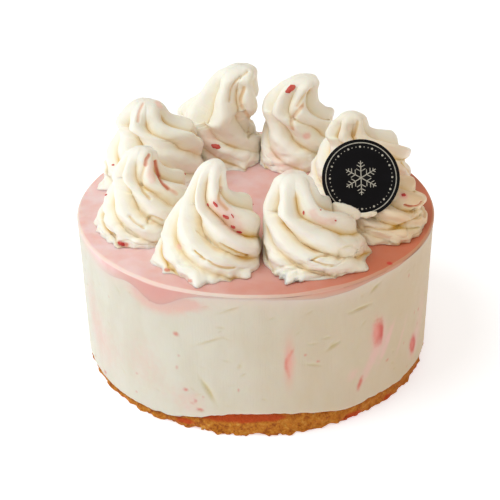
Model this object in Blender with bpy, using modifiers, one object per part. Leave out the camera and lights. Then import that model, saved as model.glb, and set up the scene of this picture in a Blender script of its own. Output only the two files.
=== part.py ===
"""A round strawberry ice cream cake, built at real size in metres with +Z up.

From the bottom: a golden biscuit base, marbled ice cream, a pink strawberry top that has run
a little way down the side, eight piped cream swirls in a ring, and a round dark tag that
stands in two of them. The origin is the middle of the base's underside, the front is at -Y,
and azimuths are in degrees from +X, so the front is at 270.
"""

import math
import random
from dataclasses import dataclass

import bmesh
import bpy
from mathutils import Matrix, Vector, noise

MM = 0.001
GAP = 0.3 * MM

# Cake
CAKE_RADIUS = 75 * MM
CAKE_HEIGHT = 65.6 * MM
SIDE_STEPS = 72
SIDE_BANDS = 3
RIM_ROUNDING = 1.2 * MM
RIM_STEPS = 2
INNER_RADIUS = 58 * MM

# Biscuit base: the seam above it rises in soft heaps (azimuth, width in degrees, height)
BASE_CORE_THICKNESS = 6 * MM
BASE_SEAM_LEVEL = 3.0 * MM
BASE_SEAM_HEAPS = (
    (264, 11, 6.8 * MM),
    (284, 10, 5.0 * MM),
    (310, 9, 2.8 * MM),
    (330, 7, 1.6 * MM),
    (32, 14, 3.0 * MM),
    (75, 12, 4.0 * MM),
    (122, 15, 2.5 * MM),
    (163, 10, 3.5 * MM),
)
BASE_RADIUS = 74.2 * MM
BASE_FOOT_INSET = 1.0 * MM
BASE_FOOT_LIFT = 0.8 * MM
BASE_CRAG = 0.55 * MM
BASE_CRAG_SIZE = 7 * MM

# Strawberry top: its lower edge hangs in soft runs (azimuth, width in degrees, length)
TOP_CORE_THICKNESS = 3 * MM
TOP_EDGE_THICKNESS = 1.9 * MM
TOP_RUNS = (
    (218, 8, 4.6 * MM),
    (240, 5.5, 7.6 * MM),
    (291, 9, 2.0 * MM),
    (20, 10, 2.6 * MM),
    (70, 12, 4.2 * MM),
    (115, 8, 3.0 * MM),
    (152, 10, 4.8 * MM),
)

# Piped cream, in millimetres
RIDGES = 6
COLUMNS_PER_RIDGE = 5
WALL_ROWS = 14
TIP_ROWS = 3
TIP_SHARE = 0.10
RIDGE_TWIST = math.radians(155)
TWIST_POWER = 2.0
RIDGE_DEPTH = 0.40
CREASE_SHARPNESS = 0.40
CALM_FOOT = 0.6
CALM_HEIGHT = 0.24
DEEPEST_CREASE = 1.45
SLOPE_STEP = 0.004
NEIGHBOUR_DISTANCE = 50.0
NEIGHBOUR_GAP = 0.2
NEIGHBOUR_SOFTNESS = 1.8
RIM_SOFTNESS = 1.0
PRESS_START = 8.0
PROFILE_SHOULDER = 0.60
SWIRL_REACH = 74.0
FRILL_COUNT = 12
FRILL_FALL = 2.6

# How wide a swirl is, from its foot to its tip (share of height, share of radius)
SWIRL_PROFILE = (
    (0.00, 1.00),
    (0.08, 0.99),
    (0.18, 0.95),
    (0.30, 0.90),
    (0.42, 0.79),
    (0.52, 0.63),
    (0.60, 0.48),
    (0.69, 0.36),
    (0.82, 0.275),
    (0.92, 0.225),
    (1.00, 0.18),
)
# How far its middle follows the shoulder, the horn and the tip
SHOULDER_PATH = ((0.0, 0.0), (0.15, 0.12), (0.32, 0.65), (0.50, 1.0), (0.62, 0.3), (0.72, 0.0), (1.0, 0.0))
HORN_PATH = ((0.0, 0.0), (0.30, 0.10), (0.50, 0.55), (0.64, 1.0), (0.80, 0.72), (1.0, 0.0))
TIP_PATH = ((0.0, 0.0), (0.60, 0.0), (0.80, 0.28), (1.0, 1.0))
# The levels between which a swirl takes on its own horn's width
HORN_START = 0.38
HORN_FULL = 0.75

# Tag
TAG_RADIUS = 15.3 * MM
TAG_THICKNESS = 1.5 * MM
TAG_CENTRE = Vector((41.4, -26.0, 88.7)) * MM
TAG_TURN = math.radians(2)
TAG_LEAN = math.radians(33)
TAG_BEVEL = 0.25 * MM
TAG_SIDES = 56

# Looks: base colour, roughness
BISCUIT = ((0.62, 0.36, 0.13), 0.85)
ICE_CREAM = ((0.90, 0.84, 0.74), 0.50)
STRAWBERRY = ((0.83, 0.46, 0.43), 0.45)
CREAM = ((0.93, 0.89, 0.79), 0.45)
TAG_INK = ((0.006, 0.006, 0.012), 0.40)


@dataclass(frozen=True)
class Swirl:
    """One piped swirl in millimetres: where it stands, its size and how its horn was pulled.

    The shoulder's reach is a share of the radius, and the horn's width a factor on the profile.
    """

    name: str
    x: float
    y: float
    radius: float
    height: float
    horn: tuple
    tip: tuple
    shoulder_bearing: float
    shoulder_height: float
    first_crease: float
    seed: int
    shoulder_reach: float
    horn_width: float


SWIRLS = (
    Swirl("swirl_1", -17.0, -42.5, 22.5, 40.0, (-1.2, -2.0), (2.2, -1.0), 50, 0.60, 200, 1, 0.17, 1.05),
    Swirl("swirl_2", 21.5, -42.7, 22.0, 34.5, (-7.5, -2.5), (-7.2, -1.0), 120, 0.62, 205, 2, 0.10, 1.5),
    Swirl("swirl_3", 47.5, -16.0, 22.5, 32.0, (-4.0, 1.0), (-2.0, 4.0), 20, 0.60, 190, 3, 0.17, 1.0),
    Swirl("swirl_4", 45.8, 21.3, 22.5, 33.8, (-6.0, -4.0), (-4.5, -6.0), 5, 0.68, 215, 4, 0.17, 1.25),
    Swirl("swirl_5", 19.1, 47.3, 21.5, 40.0, (-3.8, -3.0), (4.2, -4.0), 15, 0.60, 195, 5, 0.15, 1.8),
    Swirl("swirl_6", -12.4, 51.5, 21.0, 42.0, (1.2, -1.5), (6.8, 0.0), 190, 0.56, 205, 6, 0.34, 2.15),
    Swirl("swirl_7", -44.2, 25.5, 22.5, 36.5, (-3.6, -1.5), (-2.5, 0.5), 15, 0.74, 220, 7, 0.17, 1.5),
    Swirl("swirl_8", -43.4, -19.3, 20.5, 36.0, (-2.5, -1.5), (-0.4, -2.5), 40, 0.64, 200, 8, 0.17, 1.35),
)


def mix(a, b, share):
    """The value that lies share of the way from a to b."""
    return a + (b - a) * share


def along(stations, place):
    """Reads a smooth curve that runs through (place, value) stations."""
    last = len(stations) - 1
    for i in range(last):
        (x0, y0), (x1, y1) = stations[i], stations[i + 1]
        if place <= x1 or i == last - 1:
            before, after = stations[max(i - 1, 0)], stations[min(i + 2, last)]
            slope0 = (y1 - before[1]) / (x1 - before[0])
            slope1 = (after[1] - y0) / (after[0] - x0)
            width = x1 - x0
            t = min(1.0, max(0.0, (place - x0) / width))
            curve = (2 * t**3 - 3 * t**2 + 1) * y0 + (3 * t**2 - 2 * t**3) * y1
            return curve + width * ((t**3 - 2 * t**2 + t) * slope0 + (t**3 - t**2) * slope1)
    return stations[last][1]


def soft_min(value, limit, softness):
    """Like min(value, limit), but turns the corner smoothly and never passes limit."""
    return -softness * math.log(math.exp(-value / softness) + math.exp(-limit / softness))


def heaps(azimuth, stations):
    """Sum of soft heaps, each given as (azimuth, width, height)."""
    total = 0.0
    for centre, width, height in stations:
        away = (azimuth - centre + 180) % 360 - 180
        total += height * math.exp(-((away / width) ** 2) / 2)
    return total


def loft(name, rings, tip=None):
    """A closed mesh through rings of points, with a middle point at each end, or a given tip.

    Each band's diagonals run from its wider ring's point to the next point of its narrower
    ring, so two surfaces that face each other across a thin gap are split alike.
    """
    form = bmesh.new()
    loops = [[form.verts.new(point) for point in ring] for ring in rings]
    for low, high in zip(loops, loops[1:]):
        low_is_wider = spread(low) > spread(high)
        for k in range(len(low)):
            n = (k + 1) % len(low)
            if low_is_wider:
                form.faces.new((low[k], low[n], high[n]))
                form.faces.new((low[k], high[n], high[k]))
            else:
                form.faces.new((low[k], low[n], high[k]))
                form.faces.new((low[n], high[n], high[k]))
    for loop, order, end in ((loops[0], -1, None), (loops[-1], 1, tip)):
        middle = form.verts.new(end or sum((vert.co for vert in loop), Vector()) / len(loop))
        for k in range(len(loop)):
            pair = (loop[k], loop[(k + 1) % len(loop)])[::order]
            form.faces.new((*pair, middle))
    bmesh.ops.recalc_face_normals(form, faces=form.faces)
    mesh = bpy.data.meshes.new(name)
    form.to_mesh(mesh)
    form.free()
    return mesh


def spread(loop):
    """How wide a ring of vertices is about the object's own Z axis."""
    return sum(vert.co.xy.length for vert in loop) / len(loop)


def material(name, look):
    """A plain finish for one object."""
    colour, roughness = look
    finish = bpy.data.materials.new(name)
    finish.use_nodes = True
    shader = finish.node_tree.nodes["Principled BSDF"]
    shader.inputs["Base Color"].default_value = (*colour, 1.0)
    shader.inputs["Roughness"].default_value = roughness
    return finish


def add(collection, name, mesh, look, location=(0, 0, 0)):
    """Puts a mesh in the scene as a named object with a finish of its own."""
    piece = bpy.data.objects.new(name, mesh)
    piece.location = location
    mesh.materials.append(material(name, look))
    mesh.shade_smooth()
    mesh.set_sharp_from_angle(angle=math.radians(50))
    collection.objects.link(piece)
    return piece


# Layers


def ring(radius, height):
    """A ring of points about the cake's axis; radius and height are numbers or rules of azimuth."""
    points = []
    for k in range(SIDE_STEPS):
        azimuth = 360 * k / SIDE_STEPS
        r = radius(azimuth) if callable(radius) else radius
        z = height(azimuth) if callable(height) else height
        points.append(Vector((r * math.cos(math.radians(azimuth)), r * math.sin(math.radians(azimuth)), z)))
    return points


def base_seam(azimuth):
    """Height of the seam between biscuit and ice cream at the cake's side."""
    return BASE_SEAM_LEVEL + heaps(azimuth, BASE_SEAM_HEAPS)


def top_seam(azimuth):
    """Height of the strawberry top's lower edge at the cake's side."""
    return CAKE_HEIGHT - TOP_EDGE_THICKNESS - heaps(azimuth, TOP_RUNS)


def base_seam_inside(azimuth):
    """Height of the biscuit's upper face just inside its craggy edge."""
    share = (BASE_RADIUS - INNER_RADIUS) / (CAKE_RADIUS - INNER_RADIUS)
    return mix(BASE_CORE_THICKNESS, base_seam(azimuth), share) - GAP / 2


def crag(azimuth, level):
    """Radius of the biscuit's rough edge."""
    angle = math.radians(azimuth)
    spot = Vector((math.cos(angle), math.sin(angle), level)) * (CAKE_RADIUS / BASE_CRAG_SIZE)
    return BASE_RADIUS + BASE_CRAG * noise.noise(spot)


def make_biscuit_base(collection):
    """The crumb base: flat below, craggy at its edge, heaped up where crumbs stuck to the side."""
    rings = [
        ring(INNER_RADIUS, 0.0),
        ring(BASE_RADIUS - BASE_FOOT_INSET, 0.0),
    ]
    for step in range(SIDE_BANDS):
        share = step / (SIDE_BANDS - 1)
        rings.append(
            ring(
                lambda azimuth: crag(azimuth, 0.6 * share) if share < 1 else BASE_RADIUS,
                lambda azimuth: mix(BASE_FOOT_LIFT, base_seam_inside(azimuth), share),
            )
        )
    rings.append(ring(INNER_RADIUS, BASE_CORE_THICKNESS - GAP / 2))
    return add(collection, "biscuit_base", loft("biscuit_base", rings), BISCUIT)


def make_ice_cream(collection):
    """The thick layer of ice cream, between the two seams."""
    rings = [ring(INNER_RADIUS, BASE_CORE_THICKNESS + GAP / 2)]
    for step in range(SIDE_BANDS + 1):
        share = step / SIDE_BANDS
        rings.append(
            ring(
                CAKE_RADIUS,
                lambda azimuth: mix(base_seam(azimuth) + GAP / 2, top_seam(azimuth) - GAP / 2, share),
            )
        )
    rings.append(ring(INNER_RADIUS, CAKE_HEIGHT - TOP_CORE_THICKNESS - GAP / 2))
    return add(collection, "ice_cream", loft("ice_cream", rings), ICE_CREAM)


def make_strawberry_top(collection):
    """The pink layer on top, with a rounded rim and runs down the side."""
    rings = [
        ring(INNER_RADIUS, CAKE_HEIGHT - TOP_CORE_THICKNESS + GAP / 2),
        ring(CAKE_RADIUS, lambda azimuth: top_seam(azimuth) + GAP / 2),
    ]
    for step in range(RIM_STEPS + 1):
        turn = math.pi / 2 * step / RIM_STEPS
        inset = RIM_ROUNDING * (1 - math.cos(turn))
        rings.append(ring(CAKE_RADIUS - inset, CAKE_HEIGHT - RIM_ROUNDING * (1 - math.sin(turn))))
    rings.append(ring(INNER_RADIUS, CAKE_HEIGHT))
    return add(collection, "strawberry_top", loft("strawberry_top", rings), STRAWBERRY)


# Piped cream


def swirl_body(swirl, height, turn):
    """A point of the swirl's smooth body at a share of its height; turn picks a ridge line."""
    shoulder = math.radians(swirl.shoulder_bearing)
    level = height ** (math.log(PROFILE_SHOULDER) / math.log(swirl.shoulder_height))
    push = along(SHOULDER_PATH, level) * swirl.shoulder_reach * swirl.radius
    follow_horn = along(HORN_PATH, level)
    follow_tip = along(TIP_PATH, level)
    x = push * math.cos(shoulder) + follow_horn * swirl.horn[0] + follow_tip * swirl.tip[0]
    y = push * math.sin(shoulder) + follow_horn * swirl.horn[1] + follow_tip * swirl.tip[1]
    on_horn = min(1.0, max(0.0, (level - HORN_START) / (HORN_FULL - HORN_START)))
    fuller = mix(1.0, swirl.horn_width, on_horn * on_horn * (3 - 2 * on_horn))
    reach = along(SWIRL_PROFILE, level) * fuller * swirl.radius
    blunt = max(0.0, (height - 1 + TIP_SHARE) / TIP_SHARE)
    reach *= math.sqrt(max(0.0, 1 - blunt * blunt))
    bearing = math.radians(swirl.first_crease) + 2 * math.pi * turn
    bearing += RIDGE_TWIST * (1 - height) ** TWIST_POWER
    return Vector((x + reach * math.cos(bearing), y + reach * math.sin(bearing), swirl.height * height))


def ridge_plan(swirl):
    """Uneven ridge widths and crease depths round one swirl, and the torn points of its foot."""
    draw = random.Random(swirl.seed)
    widths = [draw.uniform(0.8, 1.25) for _ in range(RIDGES)]
    starts = [sum(widths[:i]) / sum(widths) for i in range(RIDGES + 1)]
    depths = [draw.uniform(0.75, 1.2) for _ in range(RIDGES)]
    depths[0] = DEEPEST_CREASE
    frills = []
    for _ in range(FRILL_COUNT):
        frills.append((draw.uniform(0, 2 * math.pi), draw.uniform(0.07, 0.17), draw.uniform(0.5, 2.4)))
    return starts, depths, frills


def frill(frills, bearing):
    """How far the torn foot sticks out at a bearing."""
    total = 0.0
    for centre, width, length in frills:
        away = math.remainder(bearing - centre, 2 * math.pi)
        total += length * math.exp(-((away / width) ** 2))
    return total


def swirl_point(swirl, plan, height, ridge, place):
    """A point of the ridged surface; place runs from 0 to 1 across one ridge."""
    starts, depths, frills = plan
    turn = mix(starts[ridge], starts[ridge + 1], place)
    point = swirl_body(swirl, height, turn)
    low, high = max(0.0, height - SLOPE_STEP), min(0.999, height + SLOPE_STEP)
    up = (swirl_body(swirl, high, turn) - swirl_body(swirl, low, turn)) / (high - low)
    right, left = swirl_body(swirl, height, turn + SLOPE_STEP), swirl_body(swirl, height, turn - SLOPE_STEP)
    across = (right - left) / (2 * SLOPE_STEP)
    outward = across.cross(up)
    ridge_width = outward.length / max(up.length, 1e-6) / RIDGES
    crease = mix(depths[ridge], depths[(ridge + 1) % RIDGES], place)
    sharp = math.sqrt(max(0.0, 1 - (2 * place - 1) ** 2))
    soft = 0.5 - 0.5 * math.cos(2 * math.pi * place)
    bulge = mix(soft, sharp, CREASE_SHARPNESS)
    calm_foot = 1 - CALM_FOOT * math.exp(-((height / CALM_HEIGHT) ** 2))
    if outward.length > 1e-9:
        point = point - outward.normalized() * (RIDGE_DEPTH * crease * ridge_width * (1 - bulge) * calm_foot)
    bearing = math.atan2(point.y, point.x)
    tear = frill(frills, bearing) * math.exp(-((swirl.height * height / FRILL_FALL) ** 2))
    point = point + Vector((math.cos(bearing), math.sin(bearing), 0)) * tear
    point.z = max(point.z, 0.0)
    return point


def keep_clear(point, swirl, neighbours):
    """Presses a point back from the neighbours and from the cake's rim."""
    for other in neighbours:
        away = Vector((other.x - swirl.x, other.y - swirl.y, 0))
        limit = away.length / 2 - NEIGHBOUR_GAP
        away.normalize()
        reach = point.dot(away)
        if reach > limit - PRESS_START:
            point = point + away * (soft_min(reach, limit, NEIGHBOUR_SOFTNESS) - reach)
    place = Vector((point.x + swirl.x, point.y + swirl.y, 0))
    if place.length > SWIRL_REACH - PRESS_START:
        pressed = soft_min(place.length, SWIRL_REACH, RIM_SOFTNESS)
        point = point + place.normalized() * (pressed - place.length)
    return point


def swirl_rings(swirl, wall_rows, tip_rows, columns_per_ridge):
    """Rings of points from the swirl's foot to just under its tip, in millimetres."""
    plan = ridge_plan(swirl)
    neighbours = []
    for other in SWIRLS:
        if other is not swirl and math.hypot(other.x - swirl.x, other.y - swirl.y) < NEIGHBOUR_DISTANCE:
            neighbours.append(other)
    heights = [(1 - TIP_SHARE) * row / wall_rows for row in range(wall_rows + 1)]
    for row in range(1, tip_rows):
        heights.append(1 - TIP_SHARE * (1 - math.sin(math.pi / 2 * row / tip_rows)))
    rings = []
    for height in heights:
        points = []
        for ridge in range(RIDGES):
            for column in range(columns_per_ridge):
                place = 0.5 - 0.5 * math.cos(math.pi * column / columns_per_ridge)
                point = swirl_point(swirl, plan, height, ridge, place)
                points.append(keep_clear(point, swirl, neighbours))
        rings.append(points)
    return rings


def make_swirl(collection, swirl, tag_pocket):
    """One swirl on the strawberry top, with room for the tag where it stands in the cream."""
    rings = swirl_rings(swirl, WALL_ROWS, TIP_ROWS, COLUMNS_PER_RIDGE)
    rings = [[point * MM for point in points] for points in rings]
    mesh = loft(swirl.name, rings, swirl_body(swirl, 1.0, 0.0) * MM)
    foot = (swirl.x * MM, swirl.y * MM, CAKE_HEIGHT + GAP)
    piece = add(collection, swirl.name, mesh, CREAM, foot)
    if (Vector(foot).xy - TAG_CENTRE.xy).length < CAKE_RADIUS / 2:
        cut = piece.modifiers.new("tag pocket", "BOOLEAN")
        cut.operation = "DIFFERENCE"
        cut.object = tag_pocket
    return piece


# Tag


def tag_disc(name, radius, thickness):
    """A round disc that leans back as the tag does."""
    form = bmesh.new()
    bmesh.ops.create_cone(
        form, cap_ends=True, segments=TAG_SIDES, radius1=radius, radius2=radius, depth=thickness
    )
    mesh = bpy.data.meshes.new(name)
    form.to_mesh(mesh)
    form.free()
    stand = Matrix.Rotation(TAG_TURN, 4, "Z") @ Matrix.Rotation(math.pi / 2 - TAG_LEAN, 4, "X")
    mesh.transform(stand)
    return mesh


def make_tag(collection):
    """The round tag, its edges slightly broken."""
    tag = add(collection, "tag", tag_disc("tag", TAG_RADIUS, TAG_THICKNESS), TAG_INK, TAG_CENTRE)
    bevel = tag.modifiers.new("broken edge", "BEVEL")
    bevel.width = TAG_BEVEL
    bevel.segments = 1
    bevel.limit_method = "ANGLE"
    return tag


def make_tag_pocket(cutters):
    """The room that the tag takes up in the cream."""
    mesh = tag_disc("tag_pocket", TAG_RADIUS + GAP, TAG_THICKNESS + 2 * GAP)
    pocket = bpy.data.objects.new("tag_pocket", mesh)
    pocket.location = TAG_CENTRE
    pocket.hide_render = True
    pocket.display_type = "WIRE"
    cutters.objects.link(pocket)
    return pocket


def main():
    """Clears the scene and builds the cake."""
    for piece in list(bpy.data.objects):
        bpy.data.objects.remove(piece)
    cake = bpy.data.collections.new("ice_cream_cake")
    cutters = bpy.data.collections.new("cutters")
    for collection in (cake, cutters):
        bpy.context.scene.collection.children.link(collection)
    make_biscuit_base(cake)
    make_ice_cream(cake)
    make_strawberry_top(cake)
    tag_pocket = make_tag_pocket(cutters)
    for swirl in SWIRLS:
        make_swirl(cake, swirl, tag_pocket)
    make_tag(cake)


if __name__ == "__main__":
    main()
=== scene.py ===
"""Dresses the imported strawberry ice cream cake: cream swirls, layers, crumbs, fruit and tag.

Lengths inside the classes are in millimetres unless a name says otherwise, and meshes are
turned into metres as they are made. The origin is the middle of the cake's underside, the
front is at -Y, and azimuths are in degrees from +X.
"""

import logging
import math
import random
from dataclasses import dataclass
from enum import Enum

import bmesh
import bpy
import numpy as np
from mathutils import Matrix, Vector


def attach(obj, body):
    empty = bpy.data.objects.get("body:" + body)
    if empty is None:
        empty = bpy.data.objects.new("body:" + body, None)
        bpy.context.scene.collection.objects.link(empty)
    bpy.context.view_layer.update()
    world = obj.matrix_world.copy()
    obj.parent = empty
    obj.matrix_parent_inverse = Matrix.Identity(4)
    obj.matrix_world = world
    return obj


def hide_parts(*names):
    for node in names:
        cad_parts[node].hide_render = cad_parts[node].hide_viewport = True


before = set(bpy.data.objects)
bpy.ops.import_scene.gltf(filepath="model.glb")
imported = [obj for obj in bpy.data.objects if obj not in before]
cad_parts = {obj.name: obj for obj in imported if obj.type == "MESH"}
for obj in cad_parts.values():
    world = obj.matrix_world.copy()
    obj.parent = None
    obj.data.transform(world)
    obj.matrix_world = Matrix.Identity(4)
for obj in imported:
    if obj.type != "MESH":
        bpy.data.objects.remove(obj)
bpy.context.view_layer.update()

MM = 0.001
BODY = "root"
log = logging.getLogger("ice_cream_cake")

Colour = tuple[float, float, float, float]
Stations = tuple[tuple[float, float], ...]
Heaps = tuple[tuple[float, float, float], ...]
Grains = tuple[tuple[int, float, float, float], ...]


class TreeKind(Enum):
    """The two kinds of node tree that the script builds."""

    GEOMETRY = "GeometryNodeTree"
    SHADER = "ShaderNodeTree"


class Slot(Enum):
    """Names of the material slots."""

    BISCUIT = "biscuit"
    ICE_CREAM = "ice_cream"
    STRAWBERRY = "strawberry"
    CREAM = "cream"
    TAG = "tag"


# Small tools


def shade(red: int, green: int, blue: int) -> Colour:
    """A screen colour from 0 to 255 as the linear colour that nodes take."""
    linear = [((c / 255 + 0.055) / 1.055) ** 2.4 if c > 10 else c / 255 / 12.92 for c in (red, green, blue)]
    return (*linear, 1.0)


def along(stations: Stations, place: float) -> float:
    """Reads a smooth curve that runs through stations.

    Args:
        stations: Pairs of place and value, in rising order of place.
        place: Where to read the curve.

    Returns:
        The curve's value there.
    """
    last = len(stations) - 1
    for i in range(last):
        (x0, y0), (x1, y1) = stations[i], stations[i + 1]
        if place <= x1 or i == last - 1:
            before, after = stations[max(i - 1, 0)], stations[min(i + 2, last)]
            slope0 = (y1 - before[1]) / (x1 - before[0])
            slope1 = (after[1] - y0) / (after[0] - x0)
            width = x1 - x0
            t = min(1.0, max(0.0, (place - x0) / width))
            curve = (2 * t**3 - 3 * t**2 + 1) * y0 + (3 * t**2 - 2 * t**3) * y1
            return curve + width * ((t**3 - 2 * t**2 + t) * slope0 + (t**3 - t**2) * slope1)
    return stations[last][1]


def swing(angle: np.ndarray, centre: float, whole: float = 360.0) -> np.ndarray:
    """How far each angle is from a centre, by the shorter way round."""
    return (angle - centre + whole / 2) % whole - whole / 2


def bell(away: np.ndarray, width: float) -> np.ndarray:
    """A soft bump: 1 in the middle and next to nothing at twice its width."""
    return np.exp(-((away / width) ** 2))


def heaps(azimuth: np.ndarray, stations: Heaps) -> np.ndarray:
    """Adds up soft heaps round the cake.

    Args:
        azimuth: Azimuths in degrees.
        stations: Azimuth, width in degrees and height of each heap.

    Returns:
        The heaps' height at each azimuth.
    """
    total = np.zeros_like(azimuth, dtype=float)
    for centre, width, height in stations:
        total += height * np.exp(-((swing(azimuth, centre) / width) ** 2) / 2)
    return total


def soft_min(value: np.ndarray, limit: float, softness: float) -> np.ndarray:
    """Like min(value, limit), but turns the corner smoothly."""
    return -softness * np.logaddexp(-value / softness, -limit / softness)


class Grain:
    """Smooth value noise on a lattice, the same on every run."""

    CELLS = 4096
    STRIDES = (73856093, 19349663, 83492791)

    def __init__(self, seed: int) -> None:
        """Draws the lattice's values."""
        self.table = np.random.default_rng(seed).uniform(-1, 1, self.CELLS)

    def at(self, points: np.ndarray, size: float) -> np.ndarray:
        """Reads the noise.

        Args:
            points: Places, one to a row.
            size: Size of one lattice cell.

        Returns:
            A value from -1 to 1 for each point.
        """
        cell = points / size
        base = np.floor(cell).astype(np.int64)
        part = cell - base
        part = part * part * (3 - 2 * part)
        total = np.zeros(len(points))
        for corner in np.ndindex(2, 2, 2):
            step = np.array(corner)
            spot = (base + step) * self.STRIDES
            key = (spot[:, 0] ^ spot[:, 1] ^ spot[:, 2]) % self.CELLS
            total += np.prod(np.where(step, part, 1 - part), axis=1) * self.table[key]
        return total


def unevenness(points: np.ndarray, grains: Grains, seed: int = 0) -> np.ndarray:
    """Adds up grains of several sizes.

    Args:
        points: Places, one to a row.
        grains: Seed, cell size, depth and stretch of z for each grain.
        seed: A number that is added to each grain's seed.

    Returns:
        The height at each place.
    """
    return sum(
        depth * Grain(seed + own).at(points * (1, 1, stretch), size) for own, size, depth, stretch in grains
    )


# Meshes and pieces


def closed_tube(name: str, rings: np.ndarray, attributes: dict[str, np.ndarray]) -> bpy.types.Mesh:
    """A closed mesh through rings of points that run anticlockwise, from the underside up.

    Args:
        name: The mesh's name.
        rings: Millimetre points in an array of rows, columns and three coordinates.
        attributes: Values for each point of the rings, by attribute name.

    Returns:
        The mesh in metres, with a middle point at each end.
    """
    rows, columns, _ = rings.shape
    points = np.concatenate([rings.reshape(-1, 3), rings[:1].mean(axis=1), rings[-1:].mean(axis=1)])
    low, k = np.meshgrid(np.arange(rows - 1) * columns, np.arange(columns), indexing="ij")
    n = (k + 1) % columns
    quads = np.stack([low + k, low + n, low + n + columns, low + k + columns], axis=-1).reshape(-1, 4)
    foot, top = rows * columns, (rows - 1) * columns
    fans = [(foot, (k + 1) % columns, k) for k in range(columns)]
    fans += [(foot + 1, top + k, top + (k + 1) % columns) for k in range(columns)]
    mesh = bpy.data.meshes.new(name)
    mesh.from_pydata((points * MM).tolist(), [], quads.tolist() + fans)
    mesh.shade_smooth()
    for label, values in attributes.items():
        write_values(mesh, label, np.concatenate([values.reshape(-1), [values[0].mean(), values[-1].mean()]]))
    return mesh


def read_points(mesh: bpy.types.Mesh) -> np.ndarray:
    """The mesh's points in millimetres, one to a row."""
    flat = np.empty(len(mesh.vertices) * 3)
    mesh.vertices.foreach_get("co", flat)
    return flat.reshape(-1, 3) / MM


def write_points(mesh: bpy.types.Mesh, points: np.ndarray) -> None:
    """Puts millimetre points back into the mesh."""
    mesh.vertices.foreach_set("co", (points * MM).reshape(-1))
    mesh.update()


def read_normals(mesh: bpy.types.Mesh) -> np.ndarray:
    """The mesh's point normals, one to a row."""
    flat = np.empty(len(mesh.vertices) * 3)
    mesh.vertex_normals.foreach_get("vector", flat)
    return flat.reshape(-1, 3)


def read_values(mesh: bpy.types.Mesh, name: str) -> np.ndarray:
    """One value for each point from a named attribute."""
    values = np.empty(len(mesh.vertices))
    mesh.attributes[name].data.foreach_get("value", values)
    return values


def write_values(mesh: bpy.types.Mesh, name: str, values: np.ndarray) -> None:
    """Stores one value for each point under a name."""
    store = mesh.attributes.get(name) or mesh.attributes.new(name, "FLOAT", "POINT")
    store.data.foreach_set("value", values)


def place_piece(name: str, mesh: bpy.types.Mesh, finish: bpy.types.Material | None) -> bpy.types.Object:
    """Links a mesh to the scene as a piece, with its finish where it doesn't bring one."""
    piece = bpy.data.objects.new(name, mesh)
    bpy.context.scene.collection.objects.link(piece)
    if finish is not None:
        mesh.materials.clear()
        mesh.materials.append(finish)
    return piece


def hand_over(piece: bpy.types.Object, slot: Slot, *nodes: str) -> None:
    """Hangs a piece on the body and hides the imported nodes that it stands for."""
    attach(piece, BODY)
    if nodes:
        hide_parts(*nodes)
    log.info("%s: %d points", piece.name, len(piece.data.vertices))


# Node trees


class Flow:
    """A number in a node tree that can be reckoned with like any other number."""

    def __init__(self, wiring: "Wiring", socket: bpy.types.NodeSocket) -> None:
        """Keeps the socket that gives the number."""
        self.wiring = wiring
        self.socket = socket

    def __add__(self, other: "Flow | float") -> "Flow":
        """Adds."""
        return self.wiring.math("ADD", self, other)

    def __sub__(self, other: "Flow | float") -> "Flow":
        """Takes away."""
        return self.wiring.math("SUBTRACT", self, other)

    def __rsub__(self, other: float) -> "Flow":
        """Takes this number away from a plain one."""
        return self.wiring.math("SUBTRACT", other, self)

    def __mul__(self, other: "Flow | float") -> "Flow":
        """Multiplies."""
        return self.wiring.math("MULTIPLY", self, other)

    def __truediv__(self, other: "Flow | float") -> "Flow":
        """Divides."""
        return self.wiring.math("DIVIDE", self, other)

    def __pow__(self, other: "Flow | float") -> "Flow":
        """Raises to a power."""
        return self.wiring.math("POWER", self, other)

    __radd__ = __add__
    __rmul__ = __mul__


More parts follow.
